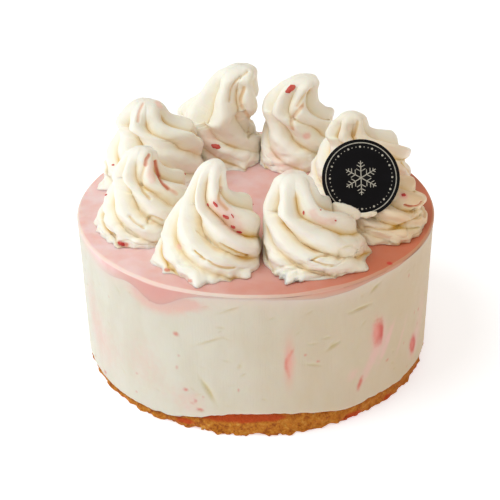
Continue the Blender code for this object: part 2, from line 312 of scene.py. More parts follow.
class Wiring:
    """Adds nodes to one node tree and wires them up."""

    CURVE_STEPS = 48

    def __init__(self, tree: bpy.types.NodeTree) -> None:
        """Keeps the tree that the nodes go into."""
        self.tree = tree

    def feed(self, socket: bpy.types.NodeSocket, value: object) -> None:
        """Links an input to another socket, or gives it a plain value."""
        if isinstance(value, Flow):
            value = value.socket
        if isinstance(value, bpy.types.NodeSocket):
            self.tree.links.new(value, socket)
        else:
            socket.default_value = value

    @staticmethod
    def pick(sockets: bpy.types.bpy_prop_collection, name: str | int) -> bpy.types.NodeSocket:
        """The socket in use that has a name, or the one with a number."""
        if isinstance(name, int):
            return sockets[name]
        return next(socket for socket in sockets if socket.name == name and socket.enabled)

    def node(self, kind: str, options: dict | None = None, inputs: dict | None = None) -> bpy.types.Node:
        """Adds a node.

        Args:
            kind: Blender's name for the kind of node.
            options: The node's own settings.
            inputs: Values or sockets, by the input's name or number.

        Returns:
            The node.
        """
        node = self.tree.nodes.new(kind)
        for name, value in (options or {}).items():
            setattr(node, name, value)
        for name, value in (inputs or {}).items():
            self.feed(self.pick(node.inputs, name), value)
        return node

    def out(self, node: bpy.types.Node, name: str | int = 0) -> Flow:
        """An output of a node as a number to reckon with."""
        return Flow(self, self.pick(node.outputs, name))

    def made(self, kind: str, options: dict | None = None, inputs: dict | None = None) -> Flow:
        """The first output of a new node."""
        return self.out(self.node(kind, options, inputs))

    def math(self, operation: str, *values: "Flow | float") -> Flow:
        """A Math node's result."""
        return self.made("ShaderNodeMath", {"operation": operation}, dict(enumerate(values)))

    def vector(self, operation: str, *values: object) -> Flow:
        """A Vector Math node's vector."""
        return self.made("ShaderNodeVectorMath", {"operation": operation}, dict(enumerate(values)))

    def scaled(self, vector: Flow, factor: "Flow | float") -> Flow:
        """A vector times a number."""
        return self.made("ShaderNodeVectorMath", {"operation": "SCALE"}, {"Vector": vector, "Scale": factor})

    def length(self, vector: Flow) -> Flow:
        """A vector's length."""
        node = self.node("ShaderNodeVectorMath", {"operation": "LENGTH"}, {0: vector})
        return self.out(node, "Value")

    def join(self, x: "Flow | float", y: "Flow | float", z: "Flow | float") -> Flow:
        """A vector from three numbers."""
        return self.made("ShaderNodeCombineXYZ", None, {0: x, 1: y, 2: z})

    def split(self, vector: Flow) -> tuple[Flow, Flow, Flow]:
        """The three numbers of a vector."""
        node = self.node("ShaderNodeSeparateXYZ", None, {0: vector})
        return self.out(node, 0), self.out(node, 1), self.out(node, 2)

    def ramp(self, value: Flow, low: float, high: float, start: object = 0.0, end: object = 1.0) -> Flow:
        """Maps low to high onto start to end, held at the ends."""
        inputs = {"Value": value, "From Min": low, "From Max": high, "To Min": start, "To Max": end}
        return self.made("ShaderNodeMapRange", None, inputs)

    def curve(self, stations: Stations, place: Flow) -> Flow:
        """A Float Curve node that follows a smooth curve through stations, in short straight steps.

        Args:
            stations: Pairs of place and value.
            place: Where the curve is read, from 0 to 1.

        Returns:
            The curve's value.
        """
        node = self.node("ShaderNodeFloatCurve", None, {"Value": place})
        line = node.mapping.curves[0]
        for i in range(self.CURVE_STEPS + 1):
            spot = (i / self.CURVE_STEPS, along(stations, i / self.CURVE_STEPS))
            if 0 < i < self.CURVE_STEPS:
                line.points.new(*spot)
            else:
                line.points[0 if i == 0 else -1].location = spot
        for point in line.points:
            point.handle_type = "VECTOR"
        node.mapping.update()
        return self.out(node)

    def noise(self, vector: Flow, scale: "Flow | float", detail: float = 2.0, roughness: float = 0.5) -> Flow:
        """A Noise Texture's value, from 0 to 1."""
        inputs = {"Vector": vector, "Scale": scale, "Detail": detail, "Roughness": roughness}
        return self.made("ShaderNodeTexNoise", None, inputs)

    def blend(self, share: Flow, first: object, second: object) -> Flow:
        """A colour that lies share of the way from the first to the second."""
        inputs = {"Factor": share, "A": first, "B": second}
        return self.out(self.node("ShaderNodeMix", {"data_type": "RGBA"}, inputs), "Result")

    def place(self) -> Flow:
        """Each point's place."""
        return self.made("GeometryNodeInputPosition")

    def held(self, name: str, form: str = "FLOAT") -> Flow:
        """A value that the geometry holds under a name."""
        node = self.node("GeometryNodeInputNamedAttribute", {"data_type": form}, {"Name": name})
        return self.out(node, "Attribute")

    def lumpy_ball(self, radius: float, fineness: int, scale: float, detail: float, dents: float) -> Flow:
        """A ball with a noise pressed into it.

        Args:
            radius: Its radius.
            fineness: How often its faces are split.
            scale: The noise's scale.
            detail: The noise's detail.
            dents: How deep the noise goes, as a share of the radius.

        Returns:
            The ball's geometry.
        """
        ball = self.made("GeometryNodeMeshIcoSphere", None, {"Radius": radius, "Subdivisions": fineness})
        place = self.place()
        offset = self.scaled(place, (self.noise(place, scale, detail) - 0.5) * dents)
        return self.made("GeometryNodeSetPosition", None, {"Geometry": ball, "Offset": offset})

    def copies(self, points: Flow, piece: Flow, **turn_and_scale: Flow) -> Flow:
        """A copy of a piece on each point, with its rotation or its scale where they are given."""
        inputs = {"Points": points, "Instance": piece, **turn_and_scale}
        return self.made("GeometryNodeInstanceOnPoints", None, inputs)


class Rule:
    """A node group with named inputs and outputs."""

    SOCKETS = {
        float: "NodeSocketFloat",
        int: "NodeSocketInt",
        tuple: "NodeSocketVector",
        str: "NodeSocketGeometry",
        type(None): "NodeSocketMaterial",
    }

    def __init__(self, name: str, kind: TreeKind, inputs: dict, outputs: dict) -> None:
        """Makes the group and its sockets.

        Args:
            name: The group's name.
            kind: What sort of tree it is.
            inputs: Default values by name; a text stands for geometry and None for a material.
            outputs: Sample values by name, which set the sockets' types in the same way.
        """
        self.tree = bpy.data.node_groups.new(name, kind.value)
        for side, sockets in (("INPUT", inputs), ("OUTPUT", outputs)):
            for label, value in sockets.items():
                is_colour = isinstance(value, tuple) and len(value) == 4
                form = "NodeSocketColor" if is_colour else self.SOCKETS[type(value)]
                socket = self.tree.interface.new_socket(name=label, in_out=side, socket_type=form)
                if side == "INPUT" and not isinstance(value, (str, type(None))):
                    socket.default_value = value
        self.wiring = Wiring(self.tree)
        self.entry = self.tree.nodes.new("NodeGroupInput")
        self.end = self.tree.nodes.new("NodeGroupOutput")

    def __getitem__(self, name: str) -> Flow:
        """A named input, ready to reckon with."""
        return Flow(self.wiring, self.entry.outputs[name])

    def give(self, **results: object) -> None:
        """Links results to the outputs; an underscore in a name stands for a space."""
        for name, value in results.items():
            self.wiring.feed(self.end.inputs[name.replace("_", " ")], value)

    def used_in(self, wiring: Wiring, values: dict) -> Flow:
        """Places the group in another tree and gives its first output."""
        prefix = "Geometry" if self.tree.bl_idname == TreeKind.GEOMETRY.value else "Shader"
        node = wiring.tree.nodes.new(f"{prefix}NodeGroup")
        node.node_tree = self.tree
        for name, value in values.items():
            wiring.feed(node.inputs[name], value)
        return wiring.out(node)

    def close(self, geometry: Flow, smooth: bool = True) -> None:
        """Gives the geometry as plain mesh in the material of the input named Finish.

        Args:
            geometry: What the group made.
            smooth: Whether its faces are shaded smooth.
        """
        w = self.wiring
        plain = w.made("GeometryNodeRealizeInstances", None, {0: geometry})
        if smooth:
            plain = w.made("GeometryNodeSetShadeSmooth", None, {0: plain})
        self.give(Geometry=w.made("GeometryNodeSetMaterial", None, {0: plain, "Material": self["Finish"]}))

    def grow(self, name: str, values: dict, start: bpy.types.Mesh | None = None) -> bpy.types.Mesh:
        """Runs a Geometry Nodes group and keeps the result as a plain mesh.

        Args:
            name: The new mesh's name.
            values: The modifier's inputs by name.
            start: The mesh that the group starts from, where it needs one.

        Returns:
            The plain mesh, with its attributes and its material.
        """
        holder = bpy.data.objects.new(f"{name}_start", start or bpy.data.meshes.new(f"{name}_start"))
        bpy.context.scene.collection.objects.link(holder)
        modifier = holder.modifiers.new("rule", "NODES")
        modifier.node_group = self.tree
        for item in self.tree.interface.items_tree:
            if item.item_type == "SOCKET" and item.in_out == "INPUT" and item.name in values:
                modifier[item.identifier] = values[item.name]
        graph = bpy.context.evaluated_depsgraph_get()
        mesh = bpy.data.meshes.new_from_object(
            holder.evaluated_get(graph), preserve_all_data_layers=True, depsgraph=graph
        )
        mesh.name = name
        holder.modifiers.remove(modifier)
        bpy.data.objects.remove(holder)
        return mesh


# Effects that several finishes share


class Effects:
    """Shader groups that more than one material uses."""

    def __init__(self) -> None:
        """Builds each group once."""
        self.grain = self.make_grain()
        self.stain = self.make_stain()
        self.streaks = self.make_streaks()

    def make_grain(self) -> Rule:
        """Fine pits and soft lumps, as a height."""
        inputs = {"Vector": (0.0, 0.0, 0.0), "Fine": 1500.0, "Coarse": 250.0}
        rule = Rule("Frozen grain", TreeKind.SHADER, inputs, {"Height": 0.0})
        w = rule.wiring
        fine = w.noise(rule["Vector"], rule["Fine"], 3.0, 0.6)
        coarse = w.noise(rule["Vector"], rule["Coarse"], 2.0)
        rule.give(Height=fine * 0.35 + coarse * 0.65)
        return rule

    def make_stain(self) -> Rule:
        """A mask with an edge that a noise has eaten into."""
        inputs = {"Vector": (0.0, 0.0, 0.0), "Mask": 0.0, "Scale": 600.0, "Bite": 0.35, "Softness": 0.25}
        rule = Rule("Soaked edge", TreeKind.SHADER, inputs, {"Mask": 0.0})
        w = rule.wiring
        bitten = rule["Mask"] + (w.noise(rule["Vector"], rule["Scale"], 3.0, 0.6) - 0.5) * rule["Bite"]
        soft = rule["Softness"]
        inputs = {"Value": bitten, "From Min": 0.5 - soft, "From Max": 0.5 + soft}
        rule.give(Mask=w.made("ShaderNodeMapRange", {"interpolation_type": "SMOOTHSTEP"}, inputs))
        return rule

    def make_streaks(self) -> Rule:
        """Fine lines drawn out along one direction, as a height."""
        inputs = {"Vector": (0.0, 0.0, 0.0), "Stretch": (1.0, 1.0, 1.0), "Scale": 1.0}
        rule = Rule("Drawn lines", TreeKind.SHADER, inputs, {"Height": 0.0})
        w = rule.wiring
        drawn = w.vector("MULTIPLY", rule["Vector"], rule["Stretch"])
        rule.give(Height=w.noise(drawn, rule["Scale"], 3.0, 0.55))
        return rule


# Finishes


SEAM_TINT: Colour = shade(227, 207, 196)


@dataclass(frozen=True)
class Finish:
    """What every finish here has: its roughness and shine, how light sinks in, and its relief.

    The roughness is the least and the most, the grain is its fine and coarse scale, and the bump
    is its strength and its height in metres.
    """

    roughness: tuple[float, float] = (0.45, 0.45)
    specular: float = 0.45
    sink: float = 0.0
    sink_depth: float = 0.002
    sink_colour: tuple[float, float, float] = (1.0, 0.5, 0.25)
    grain: tuple[float, float] = (1500.0, 250.0)
    bump: tuple[float, float] = (0.5, 0.0005)
    line_share: float = 0.0
    colour: Colour = (0.8, 0.8, 0.8, 1.0)


class Coat:
    """A material in the making: its nodes, and its colour as far as it is mixed."""

    ROUGH_FROM, ROUGH_TO = 0.3, 0.7

    def __init__(self, name: str, finish: Finish, effects: Effects) -> None:
        """Makes the material with the finish's plain values.

        Args:
            name: The material's name.
            finish: Its values.
            effects: The shared shader effects.
        """
        self.finish = finish
        self.effects = effects
        self.colour: Colour | Flow = finish.colour
        self.material = bpy.data.materials.new(name)
        self.material.use_nodes = True
        self.shader = self.material.node_tree.nodes["Principled BSDF"]
        self.wiring = Wiring(self.material.node_tree)
        self.spot = self.wiring.out(self.wiring.node("ShaderNodeTexCoord"), "Object")
        self.feed("Roughness", finish.roughness[0])
        self.feed("Specular IOR Level", finish.specular)
        self.feed("Subsurface Weight", finish.sink)
        self.feed("Subsurface Scale", finish.sink_depth)
        self.feed("Subsurface Radius", finish.sink_colour)

    def feed(self, name: str, value: object) -> None:
        """Gives the shader's named input a value."""
        self.wiring.feed(self.shader.inputs[name], value)

    def held(self, name: str, output: str = "Fac") -> Flow:
        """A value that the mesh holds for each point."""
        options = {"attribute_type": "GEOMETRY", "attribute_name": name}
        return self.wiring.out(self.wiring.node("ShaderNodeAttribute", options), output)

    def tint(self, share: Flow, colour: Colour | Flow) -> None:
        """Turns the colour by a share into another one."""
        self.colour = self.wiring.blend(share, self.colour, colour)

    def stain(self, name: str, colour: Colour | Flow, strength: float = 1.0, **values: float) -> None:
        """Stains the colour where the mesh says so, with an eaten edge.

        Args:
            name: The mesh's value for it.
            colour: The stain's colour.
            strength: How much of it shows.
            values: The stain effect's own values.
        """
        inputs = {"Vector": self.spot, "Mask": self.held(name), **values}
        self.tint(self.effects.stain.used_in(self.wiring, inputs) * strength, colour)

    def lines(self, **values: object) -> Flow:
        """The height of fine drawn lines."""
        return self.effects.streaks.used_in(self.wiring, values)

    def close(self, lines: Flow | None = None, worn: Flow | None = None) -> bpy.types.Material:
        """Feeds the colour, the relief and the roughness to the shader.

        Args:
            lines: Drawn lines that share the relief with the grain.
            worn: What the roughness follows, where it isn't the grain.

        Returns:
            The material.
        """
        w, finish = self.wiring, self.finish
        fine, coarse = finish.grain
        grain = self.effects.grain.used_in(w, {"Vector": self.spot, "Fine": fine, "Coarse": coarse})
        height = grain if lines is None else lines * finish.line_share + grain * (1 - finish.line_share)
        strength, distance = finish.bump
        bump = w.node("ShaderNodeBump", None, {"Height": height, "Strength": strength, "Distance": distance})
        self.feed("Normal", w.out(bump, "Normal"))
        self.feed("Base Color", self.colour)
        least, most = finish.roughness
        if most > least:
            rough_by = grain if worn is None else worn
            self.feed("Roughness", w.ramp(rough_by, self.ROUGH_FROM, self.ROUGH_TO, least, most))
        return self.material


@dataclass(frozen=True)
class CreamFinish(Finish):
    """Whipped cream: off-white, with painted crease shade that turns golden in the deepest creases, painted
    shade towards the right front, and fine lines along its ridges.
    """

    roughness: tuple[float, float] = (0.34, 0.5)
    specular: float = 0.35
    sink: float = 0.4
    sink_colour: tuple[float, float, float] = (1.0, 0.75, 0.55)
    grain: tuple[float, float] = (1400.0, 500.0)
    line_share: float = 0.7
    colour: Colour = shade(253, 248, 239)
    # Painted crease shade: a broad tint over every crease, then a golden one in the deepest.
    crease_shade: Colour = shade(250, 237, 212)
    hollow: Colour = shade(226, 186, 98)
    # Painted shade on the right front of the ring.
    right_side_shade: Colour = shade(226, 190, 142)
    blush: Colour = shade(242, 188, 180)
    # Red fruit stain, and painted shade in some crevices and creases.
    juice_and_shade: Colour = shade(214, 100, 66)
    stain_scale: float = 450.0

    def make(self, effects: Effects) -> bpy.types.Material:
        """Builds the material."""
        coat = Coat("whipped_cream", self, effects)
        w = coat.wiring
        across, back, _ = w.split(coat.spot)
        # The crease mask, a little weaker at the back, for the painted crease shade below.
        hollow = coat.held("hollow") * w.ramp(back, 0.0, 0.045, 1.0, 0.75)
        # Painted shade towards the right front.
        coat.tint(w.ramp(across, 0.025, 0.07, 0.0, 0.9) * w.ramp(back, 0.0, 0.02, 1.0, 0.1), self.right_side_shade)
        # Painted crease shade: broad, then golden in the deepest creases where a noise lets it through.
        coat.tint(w.ramp(hollow, 0.25, 0.85) * 0.8, self.crease_shade)
        uneven = w.ramp(w.noise(coat.spot, 60.0, 1.0), 0.40, 0.62, 0.25, 1.0)
        coat.tint(w.ramp(hollow, 0.55, 0.95) * uneven, self.hollow)
        coat.stain("blush", self.blush, 0.75, Scale=self.stain_scale, Softness=0.48)
        coat.stain("juice_and_shade", self.juice_and_shade, 1.0, Scale=self.stain_scale, Softness=0.40)
        return coat.close(coat.lines(Vector=coat.held("strand", "Vector"), Scale=1.0))


@dataclass(frozen=True)
class IceCreamFinish(Finish):
    """Frozen cream: a scraped side with fruit in it, with painted shade towards the right and in its chips,
    and a pink blush under the rim.
    """

    roughness: tuple[float, float] = (0.42, 0.58)
    specular: float = 0.35
    sink: float = 0.4
    sink_depth: float = 0.003
    grain: tuple[float, float] = (1800.0, 300.0)
    bump: tuple[float, float] = (0.6, 0.0005)
    line_share: float = 0.4
    colour: Colour = shade(217, 213, 201)
    dull: Colour = shade(211, 204, 188)
    # Painted shade towards the right.
    right_side_shade: Colour = shade(202, 172, 130)
    blush: Colour = shade(224, 186, 176)
    fruit: Colour = shade(206, 88, 76)
    pulp: Colour = shade(232, 160, 146)
    # Painted shade inside the chips.
    chip_shade: Colour = shade(206, 190, 140)

    def make(self, effects: Effects) -> bpy.types.Material:
        """Builds the material."""
        coat = Coat("scraped_ice_cream", self, effects)
        w = coat.wiring
        smear = coat.lines(Vector=coat.spot, Stretch=(1.0, 1.0, 0.5), Scale=80.0)
        coat.tint(w.ramp(smear, 0.40, 0.72), self.dull)
        across, _, _ = w.split(coat.spot)
        # Painted shade: darker and yellower towards the right.
        coat.tint(w.ramp(across, -0.03, 0.075, 0.0, 0.75), self.right_side_shade)
        # Painted shade in the chipped dents.
        coat.tint(coat.held("chip") * 0.8, self.chip_shade)
        coat.tint(coat.held("fade") * w.ramp(across, 0.01, 0.07, 1.0, 0.2), SEAM_TINT)
        for name, colour, bite in (("blush", self.blush, 0.35), ("fruit", self.fruit, 0.42)):
            coat.stain(name, colour, Scale=420.0, Softness=0.32, Bite=bite)
        coat.tint(coat.held("pulp"), self.pulp)
        return coat.close(coat.lines(Vector=coat.spot, Stretch=(1.0, 1.0, 0.06), Scale=1500.0))


@dataclass(frozen=True)
class StrawberryFinish(Finish):
    """The pink top: smooth and a little mottled, with painted orange shade to the right, paler where it thins
    down the side, and a painted highlight along its rim.
    """

    roughness: tuple[float, float] = (0.36, 0.5)
    specular: float = 0.4
    sink: float = 0.35
    sink_depth: float = 0.003
    grain: tuple[float, float] = (1500.0, 200.0)
    bump: tuple[float, float] = (0.35, 0.0004)
    colour: Colour = shade(242, 212, 215)
    deep: Colour = shade(238, 190, 186)
    # Painted shade on the right: orange on the top, and a matching one for the thin side and the rim.
    right_side_shade: Colour = shade(202, 108, 74)
    right_side_shade_seam: Colour = shade(208, 148, 116)
    run: Colour = shade(216, 154, 146)
    # Painted highlight along the rounded rim.
    rim_highlight: Colour = shade(240, 218, 210)
    fruit: Colour = shade(205, 60, 50)

    def make(self, effects: Effects) -> bpy.types.Material:
        """Builds the material."""
        coat = Coat("strawberry_ice_cream", self, effects)
        w = coat.wiring
        coat.tint(w.ramp(w.noise(coat.spot, 120.0, 3.0), 0.35, 0.7), self.deep)
        across, back, _ = w.split(coat.spot)
        # How far into the painted shade on the right a point lies.
        right_side_shade = across - back * 0.4 + (w.noise(coat.spot, 30.0) - 0.5) * 0.02
        right_shade_share = w.ramp(right_side_shade, 0.02, 0.08)
        # Painted orange shade towards the right.
        coat.tint(w.ramp(right_side_shade, -0.03, 0.066, 0.0, 0.95), self.right_side_shade)
        # The thin side fades to the seam tint, which takes painted shade on the right.
        coat.tint(coat.held("thin"), w.blend(right_shade_share, SEAM_TINT, self.right_side_shade_seam))
        coat.stain("run", self.run, 0.85, Scale=300.0, Softness=0.5, Bite=0.3)
        # Painted highlight along the rim, with painted shade on the right.
        coat.tint(coat.held("rim"), w.blend(right_shade_share, self.rim_highlight, self.right_side_shade_seam))
        coat.stain("fruit", self.fruit, Scale=900.0)
        return coat.close()


@dataclass(frozen=True)
class BiscuitFinish(Finish):
    """Pressed crumbs: golden, browner in pits, with painted shade to the right, red-brown spots near the
    foot, painted red-brown shade under the front overhang and a painted shadow line at the seam.
    """

    roughness: tuple[float, float] = (0.75, 0.75)
    specular: float = 0.25
    grain: tuple[float, float] = (2200.0, 700.0)
    bump: tuple[float, float] = (1.0, 0.0014)
    colour: Colour = shade(158, 80, 20)
    golden: Colour = shade(200, 124, 34)
    pale: Colour = shade(220, 160, 72)
    # Red-brown spots, and painted shade under the ice cream's front overhang.
    soak_and_shade: Colour = shade(194, 76, 24)
    # Painted shade towards the right.
    right_side_shade: Colour = shade(186, 104, 22)
    # Painted shadow line along the front seam.
    seam: Colour = shade(116, 44, 16)

    def make(self, effects: Effects) -> bpy.types.Material:
        """Builds the material."""
        coat = Coat("pressed_crumbs", self, effects)
        w = coat.wiring
        patches = w.noise(coat.spot, 420.0, 5.0, 0.7)
        coat.tint(w.ramp(patches, 0.38, 0.50), self.golden)
        coat.tint(w.ramp(patches, 0.53, 0.66), self.pale)
        across, _, _ = w.split(coat.spot)
        # Painted shade towards the right.
        coat.tint(w.ramp(across, 0.0, 0.07, 0.0, 0.7), self.right_side_shade)
        # Red-brown spots and painted shade under the overhang.
        coat.stain("soak_and_shade", self.soak_and_shade, Scale=350.0, Bite=0.5)
        # Painted shadow line along the seam.
        coat.tint(coat.held("seam") * 0.75, self.seam)
        return coat.close()


@dataclass(frozen=True)
class FruitFinish(Finish):
    """Bits of strawberry, wet and red, paler at the back."""

    roughness: tuple[float, float] = (0.3, 0.3)
    specular: float = 0.5
    sink: float = 0.3
    grain: tuple[float, float] = (3000.0, 900.0)
    bump: tuple[float, float] = (0.5, 0.0004)
    colour: Colour = shade(200, 46, 50)
    pale: Colour = shade(222, 108, 96)

    def make(self, effects: Effects) -> bpy.types.Material:
        """Builds the material."""
        coat = Coat("strawberry_bits", self, effects)
        w = coat.wiring
        _, back, _ = w.split(coat.spot)
        coat.tint(w.ramp(w.noise(coat.spot, 700.0), 0.4, 0.7), self.pale)
        coat.tint(w.ramp(back, 0.02, 0.05, 0.0, 0.7), self.pale)
        return coat.close()


@dataclass(frozen=True)
class TagFinish(Finish):
    """A satin card, almost black, a little duller where it was handled."""

    roughness: tuple[float, float] = (0.34, 0.5)
    specular: float = 0.12
    grain: tuple[float, float] = (4000.0, 1200.0)
    bump: tuple[float, float] = (0.15, 0.0002)
    colour: Colour = shade(9, 9, 14)
    rubbed: Colour = shade(14, 14, 20)

    def make(self, effects: Effects) -> bpy.types.Material:
        """Builds the material."""
        coat = Coat("satin_card", self, effects)
        wear = coat.wiring.noise(coat.spot, 180.0, 4.0, 0.6)
        coat.tint(coat.wiring.ramp(wear, 0.45, 0.8), self.rubbed)
        return coat.close(worn=wear)


@dataclass(frozen=True)
class PrintFinish(Finish):
    """Off-white ink, thin enough to break up a little."""

    roughness: tuple[float, float] = (0.5, 0.5)
    grain: tuple[float, float] = (5000.0, 1500.0)
    bump: tuple[float, float] = (0.2, 0.0001)
    colour: Colour = shade(186, 182, 172)
    worn: Colour = shade(112, 110, 106)

    def make(self, effects: Effects) -> bpy.types.Material:
        """Builds the material."""
        coat = Coat("off_white_ink", self, effects)
        coat.tint(coat.wiring.ramp(coat.wiring.noise(coat.spot, 1500.0, 3.0), 0.5, 0.75), self.worn)
        return coat.close()


@dataclass(frozen=True)
class FloorFinish(Finish):
    """The pale floor, with a faint glow of its own."""

    roughness: tuple[float, float] = (0.8, 0.8)
    specular: float = 0.2
    colour: Colour = (0.87, 0.87, 0.89, 1.0)
    worn: Colour = (0.85, 0.85, 0.87, 1.0)
    glow: Colour = (0.86, 0.91, 1.0, 1.0)
    glow_strength: float = 0.55

    def make(self, effects: Effects) -> bpy.types.Material:
        """Builds the material."""
        coat = Coat("pale_floor", self, effects)
        coat.tint(coat.wiring.noise(coat.spot, 3.0), self.worn)
        coat.feed("Base Color", coat.colour)
        coat.feed("Emission Color", self.glow)
        coat.feed("Emission Strength", self.glow_strength)
        return coat.material


# The cake's layers


@dataclass(frozen=True)
class Cake:
    """Sizes that the layers share: the round of the cake and the seams at its side."""

    radius: float = 75.0
    height: float = 65.6
    steps: int = 720
    inner_radius: float = 58.0
    base_core: float = 6.0
    core_gap: float = 0.15
    base_seam_level: float = 3.0
    base_seam_heaps: Heaps = (
        (264, 11, 6.8),
        (284, 10, 5.0),
        (310, 9, 2.8),
        (330, 7, 1.6),
        (32, 14, 3.0),
        (75, 12, 4.0),
        (122, 15, 2.5),
        (163, 10, 3.5),
    )
    top_core: float = 3.0
    top_edge: float = 1.9
    base_seam_grains: Grains = ((11, 3.5, 0.35, 1.0), (12, 1.3, 0.2, 1.0))
    top_seam_grains: Grains = ((13, 6.0, 0.3, 1.0),)
    top_runs: Heaps = (
        (218, 8, 4.6),
        (240, 5.5, 7.6),
        (291, 9, 2.0),
        (20, 10, 2.6),
        (70, 12, 4.2),
        (115, 8, 3.0),
        (152, 10, 4.8),
    )

    @property
    def azimuths(self) -> np.ndarray:
        """The azimuth of each column round the cake."""
        return np.arange(self.steps) * 360 / self.steps

    def circle(self, radius: np.ndarray | float, height: np.ndarray | float) -> np.ndarray:
        """A ring of points.

        Args:
            radius: One radius, or one for each column.
            height: One height, or one for each column.

        Returns:
            The ring's points.
        """
        angle = np.radians(self.azimuths)
        flat = np.zeros(self.steps)
        return np.stack([radius * np.cos(angle), radius * np.sin(angle), height + flat], axis=-1)

    def base_seam(self) -> np.ndarray:
        """Height of the seam between biscuit and ice cream, with its small unevenness."""
        level = self.base_seam_level + heaps(self.azimuths, self.base_seam_heaps)
        return level + unevenness(self.circle(self.radius, 0.0), self.base_seam_grains)

    def top_seam(self) -> np.ndarray:
        """Height of the strawberry top's lower edge."""
        level = self.height - self.top_edge - heaps(self.azimuths, self.top_runs)
        return level + unevenness(self.circle(self.radius, 0.0), self.top_seam_grains)


